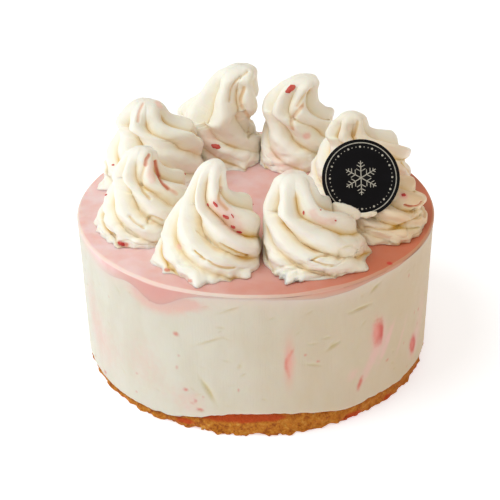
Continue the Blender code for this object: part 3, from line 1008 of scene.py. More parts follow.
@dataclass(frozen=True)
class BiscuitBase:
    """The crumb base, craggy at its edge, with loose crumbs stuck to it."""

    cake: Cake
    edge_radius: float = 74.3
    foot_spread: float = 0.3
    rows: int = 26
    under_ice_cream: float = 73.9
    underside: tuple[float, float, int] = (4.0, 71.3, 10)
    widest: float = 76.6
    crags: Grains = ((21, 7.0, 0.5, 1.0), (22, 2.6, 0.5, 1.0), (23, 1.1, 0.35, 1.0))
    calm_crags: float = 0.25
    foot_height: float = 1.6
    foot_crags: float = 1.4
    undercut: float = 0.6
    undercut_height: float = 0.4
    hollows: Heaps = ((262, 13, 1.1), (286, 9, 0.5))
    tuck_from: float = 0.45
    tuck_power: float = 1.5
    least_crumbs: float = 0.05
    # Where the painted shadow line runs along the seam: azimuth, width and strength.
    seam_line: Heaps = ((268, 32, 1.0),)
    seam_line_width: float = 0.9
    # Red-brown patches by azimuth, height, width, height spread and strength: the two at the front seam are
    # painted shade under the overhang, the rest are spots.
    soak_and_shade: tuple[tuple[float, float, float, float, float], ...] = (
        (258, 8.0, 12, 2.6, 1.0),
        (272, 8.5, 8, 1.8, 0.9),
        (247, 3.0, 4, 1.5, 0.9),
        (301, 1.5, 5, 1.8, 0.9),
        (316, 1.5, 3, 1.5, 0.8),
        (335, 0.8, 4, 1.2, 0.7),
        (222, 0.8, 6, 0.8, 0.6),
    )
    craggy: Heaps = ((270, 36, 0.75), (20, 25, 0.5), (95, 45, 0.6))
    crumb_density: float = 30000.0
    crumb_size: float = 0.6
    crumb_turn: float = 6.28
    crumb_sizes: tuple[float, float, float] = (0.35, 1.5, 2.2)
    crumb_flatness: tuple[float, float] = (0.8, 0.65)
    crumb_dents: tuple[float, float, float] = (1.3, 1.0, 1.4)
    crumbs_outside: float = 72.0
    crumbs_above: float = 0.35
    crumb_floor: float = 0.02

    def build(self, effects: Effects) -> None:
        """Makes the base and its crumbs."""
        finish = BiscuitFinish().make(effects)
        mesh = self.make_base()
        base = place_piece("crumb_base", mesh, finish)
        crumbs = place_piece("loose_crumbs", self.scatter_crumbs(mesh, finish), None)
        hand_over(base, Slot.BISCUIT, "biscuit_base")
        hand_over(crumbs, Slot.BISCUIT)

    def make_base(self) -> bpy.types.Mesh:
        """The base: flat below, rough round its edge, closed on top under the ice cream."""
        cake = self.cake
        seam = cake.base_seam()
        hollow = heaps(cake.azimuths, self.hollows)
        loose = self.calm_crags + heaps(cake.azimuths, self.craggy)
        rings = [cake.circle(radius, 0.0) for radius in np.linspace(*self.underside)]
        for row in range(self.rows + 1):
            share = row / self.rows
            height = seam * share
            rough = unevenness(cake.circle(self.edge_radius, height), self.crags)
            foot = bell(height, self.foot_height)
            rough = self.foot_spread * foot + rough * (1 + self.foot_crags * foot)
            radius = self.edge_radius + rough * loose
            radius -= self.undercut * bell(height, self.undercut_height)
            tuck = np.clip((share - self.tuck_from) / (1 - self.tuck_from), 0, 1) ** self.tuck_power
            radius = radius * (1 - tuck) + (self.under_ice_cream - hollow) * tuck
            rings.append(cake.circle(np.minimum(radius, self.widest), height))
        rings.append(cake.circle(cake.inner_radius, cake.base_core - cake.core_gap))
        rings = np.stack(rings)
        azimuth = np.degrees(np.arctan2(rings[..., 1], rings[..., 0])) % 360
        # Red-brown mask: spots, and painted shade under the overhang.
        soak_and_shade = np.zeros(rings.shape[:2])
        for centre, level, width, tall, strength in self.soak_and_shade:
            away = swing(azimuth, centre) / width
            soak_and_shade += strength * np.exp(-(away**2) - ((rings[..., 2] - level) / tall) ** 2)
        # Painted shadow line along the seam.
        line = bell(seam - rings[..., 2], self.seam_line_width)
        values = {
            "soak_and_shade": np.clip(soak_and_shade, 0, 1),
            "crumbly": np.clip(self.least_crumbs + heaps(azimuth, self.craggy), 0, 1),
            "seam": line * np.clip(heaps(azimuth, self.seam_line), 0, 1),
        }
        return closed_tube("crumb_base", rings, values)

    def scatter_crumbs(self, base: bpy.types.Mesh, finish: bpy.types.Material) -> bpy.types.Mesh:
        """Crumbs strewn over the base's side by a Geometry Nodes rule.

        Args:
            base: The base that they stick to.
            finish: Their material.

        Returns:
            One plain mesh of all the crumbs.
        """
        values = {
            "Density": self.crumb_density,
            "Crumb Size": self.crumb_size * MM,
            "Seed": 5,
            "Inner Radius": self.crumbs_outside * MM,
        }
        inputs = {"Base": "", **values, "Finish": None}
        rule = Rule("Loose crumbs", TreeKind.GEOMETRY, inputs, {"Geometry": ""})
        w = rule.wiring
        x, y, z = w.split(w.place())
        outside = w.math("GREATER_THAN", w.length(w.join(x, y, 0.0)), rule["Inner Radius"])
        above_floor = w.math("GREATER_THAN", z, self.crumbs_above * MM)
        inputs = {"Mesh": rule["Base"], "Selection": outside * above_floor, "Seed": rule["Seed"]}
        inputs["Density"] = rule["Density"] * w.held("crumbly")
        spots = w.made("GeometryNodeDistributePointsOnFaces", None, inputs)
        any_way = {"Max": (self.crumb_turn,) * 3, "Seed": rule["Seed"]}
        tilt = w.node("FunctionNodeRandomValue", {"data_type": "FLOAT_VECTOR"}, any_way)
        draw = w.node("FunctionNodeRandomValue", {"data_type": "FLOAT"}, {"Min": 0.0, "Max": 1.0, "Seed": 7})
        least, spread, power = self.crumb_sizes
        size = rule["Crumb Size"] * (w.out(draw, "Value") ** power * spread + least)
        wide, tall = self.crumb_flatness
        scale = w.join(size, size * wide, size * tall)
        ball = w.lumpy_ball(1.0, 2, *self.crumb_dents)
        rule.close(w.copies(spots, ball, Rotation=w.out(tilt, "Value"), Scale=scale))
        mesh = rule.grow("loose_crumbs", {**values, "Finish": finish}, base.copy())
        points = read_points(mesh)
        points[:, 2] = np.maximum(points[:, 2], self.crumb_floor)
        write_points(mesh, points)
        return mesh


@dataclass(frozen=True)
class Mark:
    """An oval mark on the cake's side: where it is, its half sizes, its slant and its strength."""

    azimuth: float
    height: float
    half_width: float
    half_height: float
    slant: float = 0.0
    strength: float = 1.0


def strewn(seed: int, count: int, *ranges: tuple[float, float] | float) -> list[Mark]:
    """Marks drawn at random.

    Args:
        seed: The seed of the draw.
        count: How many marks.
        ranges: For each of a mark's values the range that it is drawn from, or the value itself.

    Returns:
        The marks.
    """
    draw = random.Random(seed)
    marks = []
    for _ in range(count):
        marks.append(Mark(*(draw.uniform(*part) if isinstance(part, tuple) else part for part in ranges)))
    return marks


@dataclass(frozen=True)
class IceCreamLayer:
    """The thick layer: scraped smooth, chipped here and there, with fruit showing."""

    cake: Cake
    rows: int = 130
    fruit: tuple[Mark, ...] = (
        Mark(309.3, 37.4, 2.7, 6.4, 3, 0.78),
        Mark(310.9, 36.4, 0.8, 4.6, 3, 0.3),
        Mark(329.6, 17.8, 3.0, 4.6, 12, 0.95),
        Mark(302.9, 16.4, 1.3, 3.8, -14, 0.66),
        Mark(280.1, 39.4, 0.9, 2.8, -22, 0.52),
        Mark(278.6, 35.0, 1.0, 3.0, -4, 0.5),
        Mark(279.2, 29.8, 0.9, 3.2, 14, 0.48),
        Mark(246, 44.7, 1.5, 1.2, 0, 0.62),
        Mark(252.6, 10.8, 1.6, 1.1, 0, 0.68),
        Mark(248.3, 19.2, 1.5, 1.2, 0, 0.62),
        Mark(211.7, 6, 1.4, 1.1, 0, 0.64),
        Mark(38, 30, 2.6, 5.4, 8, 1.1),
        Mark(71, 14, 1.6, 3.0, -20, 0.8),
        Mark(108, 42, 2.2, 3.4, 14, 0.9),
        Mark(139, 22, 3.0, 5.0, -8, 1.2),
        Mark(171, 36, 1.4, 3.6, 10, 0.7),
    )
    blush: tuple[Mark, ...] = (
        Mark(309.6, 36, 5.4, 9.0, 4, 0.62),
        Mark(329.9, 17, 4.8, 7.0, -12, 0.6),
        Mark(306, 22, 2.4, 11, -28, 0.55),
        Mark(314, 31, 1.6, 11, -26, 0.5),
        Mark(321, 27, 1.5, 12, -20, 0.48),
        Mark(300, 22, 3.0, 4.0, -40, 0.55),
        Mark(280, 35, 2.6, 9, 8, 0.45),
        Mark(250, 13, 8, 8, 0, 0.42),
        Mark(234, 26, 12, 16, 10, 0.40),
        Mark(215, 20, 10, 14, 0, 0.40),
        Mark(336, 30, 6, 16, 0, 0.42),
        Mark(239, 57.5, 11, 4.6, -6, 1.0),
        Mark(249, 59.5, 9, 2.6, 0, 0.8),
        Mark(120, 55, 12, 5.0, 6, 0.8),
        Mark(205, 34, 9, 20, 0, 0.42),
        Mark(139, 22, 6.0, 9.0, -8, 0.6),
        Mark(38, 30, 5.0, 9.0, 8, 0.6),
        Mark(95, 30, 14, 12, 0, 0.42),
    )
    pulp: tuple[Mark, ...] = (
        Mark(308.6, 37.8, 1.5, 4.2, 3, 0.8),
        Mark(329.2, 18.0, 1.2, 2.2, 12, 0.4),
        Mark(138.4, 22.5, 1.5, 3.0, -8, 0.7),
        Mark(279.3, 35.0, 1.5, 8.0, 0, 0.7),
    )
    chips: tuple[Mark, ...] = (
        Mark(307.4, 59.3, 2.4, 0.5, 32, 0.6),
        Mark(302.0, 52.3, 3.4, 0.5, 2, 0.6),
        Mark(293.0, 38.9, 2.2, 0.6, 28, 0.65),
        Mark(256.5, 44.2, 4.6, 0.45, 26, 0.4),
        Mark(262.8, 59.2, 3.8, 0.45, 25, 0.4),
        Mark(255.3, 20.7, 4.2, 0.75, -62, 0.9),
        Mark(287.0, 32.0, 2.4, 0.5, -20, 0.35),
    )
    scratches: int = 170
    scratch_ranges: tuple = ((0, 360), (8, 62), (0.5, 1.6), (0.25, 0.5), (-70, 70), (0.08, 0.4))
    specks: int = 60
    speck_ranges: tuple = ((0, 360), (6, 60), (0.6, 1.3), (0.6, 1.3), 0.0, (0.4, 0.52))
    wave: Grains = ((31, 16.0, 0.16, 0.5), (32, 5.0, 0.10, 0.35))
    wave_drop: float = 0.16
    calm_band: float = 4.0
    foot_radius: float = 74.1
    groove: float = 0.5
    groove_height: float = 0.6
    full_chip: float = 0.7
    most_fruit: float = 1.3
    fade_height: float = 2.4

    def build(self, effects: Effects) -> None:
        """Makes the layer."""
        piece = place_piece("scraped_side", self.make_side(), IceCreamFinish().make(effects))
        hand_over(piece, Slot.ICE_CREAM, "ice_cream")

    def spread(self, marks: tuple[Mark, ...], rings: np.ndarray) -> np.ndarray:
        """Lays marks over the side.

        Args:
            marks: The marks.
            rings: The side's points.

        Returns:
            The marks' strength at each point.
        """
        azimuth = np.degrees(np.arctan2(rings[..., 1], rings[..., 0])) % 360
        total = np.zeros(rings.shape[:2])
        for mark in marks:
            across = np.radians(swing(azimuth, mark.azimuth)) * self.cake.radius
            up = rings[..., 2] - mark.height
            turn = math.radians(mark.slant)
            side = across * math.cos(turn) + up * math.sin(turn)
            tall = up * math.cos(turn) - across * math.sin(turn)
            distance = (side / mark.half_width) ** 2 + (tall / mark.half_height) ** 2
            total += mark.strength * np.exp(-distance * 0.7)
        return total

    def all_chips(self) -> tuple[Mark, ...]:
        """The chips that the photograph shows, and small ones all round."""
        return (*self.chips, *strewn(8, self.scratches, *self.scratch_ranges))

    def all_fruit(self) -> tuple[Mark, ...]:
        """The fruit that the photograph shows, and faint specks all round."""
        return (*self.fruit, *strewn(12, self.specks, *self.speck_ranges))

    def make_side(self) -> bpy.types.Mesh:
        """The closed layer between the two seams."""
        cake = self.cake
        low, high = cake.base_seam(), cake.top_seam()
        rings = [cake.circle(cake.inner_radius, cake.base_core + cake.core_gap)]
        rings.append(cake.circle(self.foot_radius, low))
        for share in (*np.linspace(0.0, 0.999, self.rows), 1.0):
            rings.append(cake.circle(cake.radius, low + (high - low) * share))
        rings.append(cake.circle(cake.inner_radius, cake.height - cake.top_core - cake.core_gap))
        rings = np.stack(rings)
        side = rings[2:-1]
        chipped = self.spread(self.all_chips(), rings)
        wave = unevenness(side.reshape(-1, 3), self.wave).reshape(side.shape[:2])
        wave = wave - self.wave_drop - chipped[2:-1]
        calm = np.minimum(1.0, (high - side[..., 2]) / self.calm_band)
        outward = side * (1, 1, 0) / cake.radius
        side += outward * (wave * calm)[..., None]
        side -= outward * (self.groove * bell(side[..., 2] - low, self.groove_height))[..., None]
        values = {
            "fruit": np.clip(self.spread(self.all_fruit(), rings), 0, self.most_fruit),
            "blush": np.clip(self.spread(self.blush, rings), 0, 1),
            "pulp": np.clip(self.spread(self.pulp, rings), 0, 1),
            # Mask of the chipped dents, which the finish fills with painted shade.
            "chip": np.clip(chipped / self.full_chip, 0, 1),
            "fade": np.exp(-np.maximum(high - rings[..., 2], 0) / self.fade_height),
        }
        return closed_tube("scraped_side", rings, values)


@dataclass(frozen=True)
class StrawberryTop:
    """The pink layer, with a rounded rim and soft runs down the side."""

    cake: Cake
    rim_rounding: float = 1.2
    rim_rows: int = 8
    side_rows: int = 10
    top_rows: int = 40
    top_inset: float = 0.8
    middle_radius: float = 6.0
    dips: Grains = ((41, 13.0, 0.22, 1.0), (42, 4.0, 0.08, 1.0))
    dip_drop: float = 0.24
    thin_band: float = 4.6
    # How strong the painted highlight on the rim is.
    rim_highlight_share: float = 0.75
    runs: Heaps = ((239, 14, 1.0), (300, 12, 0.35), (120, 14, 0.7))
    bits: tuple[tuple[float, float, float], ...] = ((314.0, 73.2, 1.1), (301.5, 72.0, 0.5))

    def build(self, effects: Effects) -> None:
        """Makes the layer."""
        piece = place_piece("strawberry_layer", self.make_layer(), StrawberryFinish().make(effects))
        hand_over(piece, Slot.STRAWBERRY, "strawberry_top")

    def make_layer(self) -> bpy.types.Mesh:
        """The closed layer."""
        cake, rounding = self.cake, self.rim_rounding
        seam, rim_foot = cake.top_seam(), cake.height - rounding
        rings = [cake.circle(cake.inner_radius, cake.height - cake.top_core + cake.core_gap)]
        for share in (0.0, *np.linspace(0.01, 1.0, self.side_rows)):
            rings.append(cake.circle(cake.radius, seam + (rim_foot - seam) * share))
        for row in range(1, self.rim_rows + 1):
            turn = math.pi / 2 * row / self.rim_rows
            radius = cake.radius - rounding * (1 - math.cos(turn))
            rings.append(cake.circle(radius, rim_foot + rounding * math.sin(turn)))
        outermost = cake.radius - rounding - self.top_inset
        for radius in np.linspace(outermost, self.middle_radius, self.top_rows):
            rings.append(cake.circle(radius, cake.height))
        rings = np.stack(rings)
        upper = rings[self.side_rows + 1 :]
        dips = unevenness(upper.reshape(-1, 3), self.dips) - self.dip_drop
        upper[..., 2] += dips.reshape(upper.shape[:2])
        above = np.clip((rings[..., 2] - seam) / self.thin_band, 0, 1)
        thin = 1 - above * above * (3 - 2 * above)
        thin[0] = 1
        thin[self.side_rows + self.rim_rows :] = 0
        side = np.where(np.arange(len(rings)) <= self.side_rows + 1, 1.0, 0.0)[:, None]
        run = side * heaps(cake.azimuths, self.runs)
        # Painted highlight on the rim's rounding.
        rim = np.zeros(rings.shape[:2])
        rim[self.side_rows + 1 : self.side_rows + self.rim_rows] = self.rim_highlight_share
        fruit = np.zeros(rings.shape[:2])
        for azimuth, radius, size in self.bits:
            turn = math.radians(azimuth)
            away = rings[..., :2] - (radius * math.cos(turn), radius * math.sin(turn))
            fruit += np.exp(-((np.linalg.norm(away, axis=-1) / size) ** 2) * 0.7)
        values = {"thin": thin, "rim": rim, "run": np.clip(run, 0, 1), "fruit": np.clip(fruit, 0, 1)}
        return closed_tube("strawberry_layer", rings, values)


# Piped cream


@dataclass(frozen=True)
class Swirl:
    """One piped swirl: where it stands, its size and how its horn was pulled."""

    name: str
    x: float
    y: float
    radius: float
    height: float
    horn: tuple[float, float]
    tip: tuple[float, float]
    shoulder_bearing: float
    shoulder_height: float
    first_crease: float
    seed: int
    shoulder_reach: float = 0.17
    horn_width: float = 1.0
    relief: float = 1.0


@dataclass(frozen=True)
class Stroke:
    """A line in the cream, by the photograph's pixels: how far it cuts in, or stands up, and its tints of
    painted crease shade, pink, and red fruit stain with painted shade.
    """

    corners: tuple[tuple[float, float], ...]
    half_width: float = 0.8
    depth: float = 0.9
    # Painted crease shade.
    hollow: float = 1.0
    blush: float = 0.0
    # Red fruit stain, and painted shade in crevices.
    juice_and_shade: float = 0.0


@dataclass(frozen=True)
class Fleck:
    """A bit of strawberry in the cream, by the photograph's pixels: its size and its turn in degrees."""

    x: float
    y: float
    length: float
    width: float
    turn: float


class Sight:
    """Finds the spots of the cream that the photograph's pixels show."""

    SIZE = 500

    def __init__(self, studio: "Studio", pieces: list[bpy.types.Object]) -> None:
        """Keeps the camera's stand and the pieces that it may see."""
        self.stand = studio.camera_stand()
        self.spread = studio.sensor / studio.lens
        self.pieces = pieces

    def look(self, x: float, y: float) -> tuple[int, Vector, Vector] | None:
        """Looks through one pixel.

        Args:
            x: Pixels from the photograph's left edge.
            y: Pixels from its top edge.

        Returns:
            The nearest piece's number, the spot in metres and the surface's normal, or nothing.
        """
        start = self.stand.translation
        ahead = Vector(((x / self.SIZE - 0.5) * self.spread, (0.5 - y / self.SIZE) * self.spread, -1.0))
        ahead = (self.stand.to_3x3() @ ahead).normalized()
        nearest = None
        for number, piece in enumerate(self.pieces):
            hit, spot, normal, _ = piece.ray_cast(start, ahead)
            if hit and (nearest is None or (spot - start).length < (nearest[1] - start).length):
                nearest = (number, spot, normal)
        return nearest


@dataclass(frozen=True)
class PipedCream:
    """The ring of eight swirls, all by one rule."""

    cake: Cake
    ridges: int = 6
    rows: int = 200
    columns_per_ridge: int = 36
    twist: float = math.radians(155)
    twist_power: float = 2.0
    ridge_depth: float = 0.40
    crease_sharpness: float = 0.40
    calm_foot: float = 0.6
    calm_height: float = 0.24
    smooth_from: float = 0.84
    smooth_to: float = 0.98
    smooth_tip: float = 0.1
    slope_step: float = 0.004
    first_crease_depth: float = 1.45
    horn_from: float = 0.38
    horn_to: float = 0.75
    strand_turns: float = 22.0
    strand_rise: float = 9.0
    shoulder_level: float = 0.60
    tip_share: float = 0.10
    wall_share: float = 0.88
    neighbour_reach: float = 50.0
    neighbour_overlap: float = 1.0
    neighbour_softness: float = 2.8
    neighbour_band: float = 14.0
    rim_softness: float = 1.0
    rim_band: float = 8.0
    rim_reach: float = 74.2
    frill_count: int = 12
    frill_fall: float = 2.6
    spike_count: int = 34
    spike_fall: float = 1.9
    spike_reach: float = 0.75
    frill_ranges: Stations = ((0, 2 * math.pi), (0.07, 0.17), (0.5, 2.4))
    spike_ranges: Stations = ((0, 2 * math.pi), (0.03, 0.07), (0.2, 0.9))
    ridge_widths: tuple[float, float] = (0.8, 1.25)
    ridge_cuts: tuple[float, float] = (0.75, 1.2)
    lumps: Grains = ((0, 6.0, 0.35, 1.0), (1, 2.6, 0.14, 1.0))
    foot_lumps: Grains = ((2, 7.0, 1.1, 2.6), (4, 3.2, 0.5, 2.2))
    foot_height: float = 11.0
    folds: Grains = ((5, 8.0, 1.0, 2.4),)
    fold_width: float = 0.075
    fold_height: float = 8.0
    fold_depth: float = 0.55
    # Painted shade in the torn folds.
    fold_shade: float = 0.6
    foot_sink: float = 0.1
    spikes: tuple[Heaps, ...] = (
        (
            *((194, 4, 1.5), (202, 4, 1.5), (221, 4, 2.6), (251, 3.5, 1.8)),
            *((259, 4, 2.4), (288, 3.5, 2.6), (308, 4, 2.8)),
        ),
        ((225, 3, 1.8), (231, 3, 3.2), (238, 2.6, 4.6), (246, 3, 6.4), (250, 2.4, 3.6), (257, 3, 2.4)),
        ((260, 4, 1.4), (345, 4, 0.8)),
        ((300, 5, 1.0), (345, 4, 1.2)),
        ((250, 4, 1.2), (300, 5, 1.0)),
        ((230, 4, 1.0), (290, 4, 1.2)),
        ((200, 4, 1.4), (230, 4, 1.0)),
        ((197, 4, 1.4), (224, 4, 1.7), (242, 4, 1.8), (249, 3, 1.4)),
    )
    # Cut lines, tinted with painted crease shade unless their hollow share is 0.
    strokes: tuple[Stroke, ...] = (
        Stroke(((193.8, 251), (203.8, 260)), 0.7, 1.3),
        Stroke(((220, 244), (230, 249.5), (237.5, 253), (247.5, 256)), 0.6, 1.1),
        Stroke(((207.5, 260.6), (215, 265.6), (225, 268), (235, 267.5)), 0.6, 0.9),
        Stroke(((197.5, 231), (212.5, 243)), 0.5, 0.5, 0.8),
        # Painted orange shadow where the horn meets the back shoulder, in crease shade and pink.
        Stroke(((221, 188), (219.5, 200), (227, 208.8)), 1.0, 0.7, 0.9, 0.35),
        Stroke(((218, 206), (226, 215), (236, 229)), 3.6, -0.4, 0.0, 0.6),
        Stroke(((179, 246), (180, 248)), 1.0, 0.0, 0.0, 0.7),
        Stroke(((165, 269), (168, 270)), 0.9, 0.3, 0.5, 0.5, 0.6),
        Stroke(((188, 280.5), (191, 281)), 0.8, 0.0, 0.0, 0.7, 0.5),
        Stroke(((149.6, 155), (146.5, 159.5), (145.2, 165)), 0.9, 0.7, 0.9, 0.65, 0.45),
        Stroke(((143.8, 168), (141, 178), (143, 190), (150, 198)), 0.9, 0.8, 0.8),
        Stroke(((155.5, 162), (157.5, 172.5), (161.5, 181), (168.8, 189)), 0.9, 0.8, 0.9, 0.8, 0.6),
        Stroke(((168.8, 189), (177, 194)), 0.9, 0.5, 0.7, 0.6),
        Stroke(((151, 163), (150, 170), (152, 180)), 1.7, -1.0, 0.0, 0.55),
        Stroke(((130, 216), (136, 222.5), (143.8, 227.5)), 0.7, 1.2),
        Stroke(((148, 222), (150, 216.5), (156, 218), (163, 221)), 0.6, 1.0),
        Stroke(((119, 243), (126, 245)), 1.1, 0.3, 0.2, 0.8, 0.6),
        Stroke(((312, 260), (318, 262.5), (326, 265), (333, 266)), 0.6, 1.0),
        Stroke(((313, 259.5), (319, 256), (328, 255)), 0.6, 0.9),
        Stroke(((338, 258), (340, 251), (346, 246.5), (353, 245.5), (358, 250), (356, 256)), 0.8, 0.7, 0.6),
        Stroke(((273, 270), (283, 266.5), (294, 264)), 0.5, 0.5, 0.5),
        Stroke(((273, 276), (284, 272), (296, 268.5)), 0.5, 0.45, 0.5),
        Stroke(((279, 280.5), (289, 275.5), (299, 271)), 0.5, 0.4, 0.5),
        Stroke(((313, 213), (318, 219), (326, 222), (334, 221)), 1.8, 0.3, 0.4, 0.55),
        Stroke(((363.5, 228), (378, 229), (393.5, 228), (411, 221), (422, 213.5)), 0.7, 1.3, 0.9),
        Stroke(((405, 205), (412, 206.8), (418, 206), (422, 202)), 0.5, 1.2, 1.0, 0.3, 0.85),
        Stroke(((402, 195), (405, 196)), 1.3, 0.0, 0.3, 0.8, 0.3),
        Stroke(((353.5, 135), (356, 128), (358, 122)), 0.9, 0.8),
        Stroke(((402, 162), (407, 168), (411, 175)), 0.9, 0.8),
        Stroke(((248, 71), (238, 79), (232, 88), (230, 101)), 0.8, 0.8, 0.9),
        Stroke(((244, 88), (240, 101), (245, 112), (252, 121)), 1.2, 0.7, 1.0, 0.0, 0.25),
        Stroke(((250, 128), (249, 137)), 1.2, 1.2),
        Stroke(((304, 105), (297, 112), (292, 120), (292, 130)), 1.2, 0.7, 1.0, 0.0, 0.3),
        Stroke(((208, 136), (212, 151)), 4.0, 0.0, 0.0, 0.45),
        Stroke(((274, 155), (281, 165), (288, 171)), 3.5, 0.0, 0.2, 0.5),
        Stroke(((143, 103), (139.5, 111), (138, 121)), 0.8, 0.4, 0.7, 0.55, 0.2),
        Stroke(((158, 103), (160, 106)), 1.6, 0.0, 0.0, 0.75),
        Stroke(((306, 136), (308, 136)), 1.5, 0.0, 0.0, 0.8),
        Stroke(((309, 91), (302, 99), (297, 106)), 1.0, 0.7, 0.9),
    )
    flecks: tuple[Fleck, ...] = (
        Fleck(208, 205, 1.5, 0.9, 40),
        Fleck(215.3, 204.4, 2.5, 1.1, -60),
        Fleck(225.8, 217, 2.6, 1.4, -35),
        Fleck(232.5, 216, 1.9, 0.5, -45),
        Fleck(233, 227, 1.9, 1.1, -25),
        Fleck(239, 232, 2.3, 0.9, -10),
        Fleck(303.7, 213, 1.7, 0.7, 80),
        Fleck(320.5, 210, 0.6, 0.5, 0),
        Fleck(290.5, 89, 4.8, 2.4, 40),
        Fleck(216, 146.6, 4.2, 2.0, -5),
        Fleck(403.5, 195, 1.8, 1.2, 10),
        Fleck(121.5, 244, 2.8, 1.3, -10),
        Fleck(113, 165, 1.5, 0.7, -15),
        Fleck(106, 195, 1.2, 0.9, 0),
        Fleck(99, 196, 1.2, 0.9, 30),
        Fleck(335.5, 220.6, 1.0, 0.5, 0),
    )
    hidden_flecks: int = 36
    hidden_bearings: tuple[float, float] = (20, 160)
    hidden_levels: tuple[float, float] = (0.08, 0.6)
    hidden_lengths: tuple[float, float] = (0.8, 2.6)
    hidden_widths: tuple[float, float] = (0.4, 0.7)
    hidden_turns: tuple[float, float] = (-3.1, 3.1)
    hidden_reach: float = 40.0
    fleck_thickness: float = 0.7
    fleck_dents: tuple[float, float, float] = (2.2, 2.0, 1.6)
    stroke_steps: float = 1.5
    stroke_reach: float = 3.0
    stroke_tint: float = 1.3
    profile: Stations = (
        (0.00, 1.00),
        (0.08, 0.99),
        (0.18, 0.95),
        (0.30, 0.90),
        (0.42, 0.79),
        (0.52, 0.63),
        (0.60, 0.48),
        (0.69, 0.36),
        (0.82, 0.275),
        (0.92, 0.225),
        (1.00, 0.18),
    )
    shoulder_path: Stations = (
        (0.0, 0.0),
        (0.15, 0.12),
        (0.32, 0.65),
        (0.50, 1.0),
        (0.62, 0.3),
        (0.72, 0.0),
        (1.0, 0.0),
    )
    horn_path: Stations = ((0.0, 0.0), (0.30, 0.10), (0.50, 0.55), (0.64, 1.0), (0.80, 0.72), (1.0, 0.0))
    tip_path: Stations = ((0.0, 0.0), (0.60, 0.0), (0.80, 0.28), (1.0, 1.0))
    swirls: tuple[Swirl, ...] = (
        Swirl(
            *("swirl_1", -17.0, -42.5, 22.5, 40.0, (-1.2, -2.0), (2.2, -1.0), 50, 0.60, 200, 1),
            *(0.17, 1.05),
        ),
        Swirl("swirl_2", 21.5, -42.7, 22.0, 34.5, (-7.5, -2.5), (-7.2, -1.0), 120, 0.62, 205, 2, 0.10, 1.5),
        Swirl("swirl_3", 47.5, -16.0, 22.5, 32.0, (-4.0, 1.0), (-2.0, 4.0), 20, 0.60, 190, 3),
        Swirl(
            *("swirl_4", 45.8, 21.3, 22.5, 33.8, (-6.0, -4.0), (-4.5, -6.0), 5, 0.68, 215, 4),
            *(0.17, 1.25, 0.85),
        ),
        Swirl(
            *("swirl_5", 19.1, 47.3, 21.5, 40.0, (-3.8, -3.0), (4.2, -4.0), 15, 0.60, 195, 5),
            *(0.15, 1.8, 0.82),
        ),
        Swirl(
            *("swirl_6", -12.4, 51.5, 21.0, 42.0, (1.2, -1.5), (6.8, 0.0), 190, 0.56, 205, 6),
            *(0.34, 2.15, 0.82),
        ),
        Swirl(
            *("swirl_7", -44.2, 25.5, 22.5, 36.5, (-3.6, -1.5), (-2.5, 0.5), 15, 0.74, 220, 7),
            *(0.17, 1.5, 0.75),
        ),
        Swirl(
            *("swirl_8", -43.4, -19.3, 20.5, 36.0, (-2.5, -1.5), (-0.4, -2.5), 40, 0.64, 200, 8),
            *(0.17, 1.35, 0.9),
        ),
    )

    BODY_INPUTS = (
        "Height",
        "Radius",
        "Horn",
        "Tip",
        "Shoulder Bearing",
        "Shoulder Reach",
        "Horn Width",
        "Level Power",
        "First Crease",
        "Twist",
        "Twist Power",
        "Tip Share",
    )

    def build(self, effects: Effects, studio: "Studio", finish: bpy.types.Material) -> None:
        """Makes the swirls and the fruit in them.

        Args:
            effects: The shared shader effects.
            studio: Where the camera stands.
            finish: The cream's material.
        """
        rule = self.ridge_rule(self.body_rule())
        pieces = []
        for swirl in self.swirls:
            mesh = rule.grow(swirl.name, {**self.values(swirl), "Finish": finish})
            self.finish_by_hand(mesh, swirl)
            pieces.append(place_piece(f"piped_{swirl.name}", mesh, None))
        bpy.context.view_layer.update()
        sight = Sight(studio, pieces)
        self.draw_strokes(sight)
        fruit = {"Finish": FruitFinish().make(effects)}
        bits = self.bits_rule().grow("strawberry_bits", fruit, self.strew_bits(sight))
        for piece, swirl in zip(pieces, self.swirls):
            hand_over(piece, Slot.CREAM, swirl.name)
        hand_over(place_piece("strawberry_bits", bits, None), Slot.STRAWBERRY)

    def draw_strokes(self, sight: Sight) -> None:
        """Cuts and tints the cream along the strokes."""
        found: list[list[tuple[Stroke, np.ndarray]]] = [[] for _ in sight.pieces]
        for stroke in self.strokes:
            spots: dict[int, list[Vector]] = {}
            last = len(stroke.corners) - 1
            across, down = (tuple(enumerate(part)) for part in zip(*stroke.corners))
            length = sum(math.dist(a, b) for a, b in zip(stroke.corners, stroke.corners[1:]))
            steps = round(length * self.stroke_steps) + 2
            for k in range(steps + 1):
                seen = sight.look(along(across, last * k / steps), along(down, last * k / steps))
                if seen:
                    spots.setdefault(seen[0], []).append(seen[1])
            for number, places in spots.items():
                found[number].append((stroke, np.array(places) / MM))
        for piece, strokes in zip(sight.pieces, found):
            self.press_strokes(piece.data, strokes)

    def press_strokes(self, mesh: bpy.types.Mesh, strokes: list[tuple[Stroke, np.ndarray]]) -> None:
        """Presses strokes into one swirl.

        Args:
            mesh: The swirl's mesh, which is changed.
            strokes: Each stroke with its places on this swirl.
        """
        points, normals = read_points(mesh), read_normals(mesh)
        shift = np.zeros(len(points))
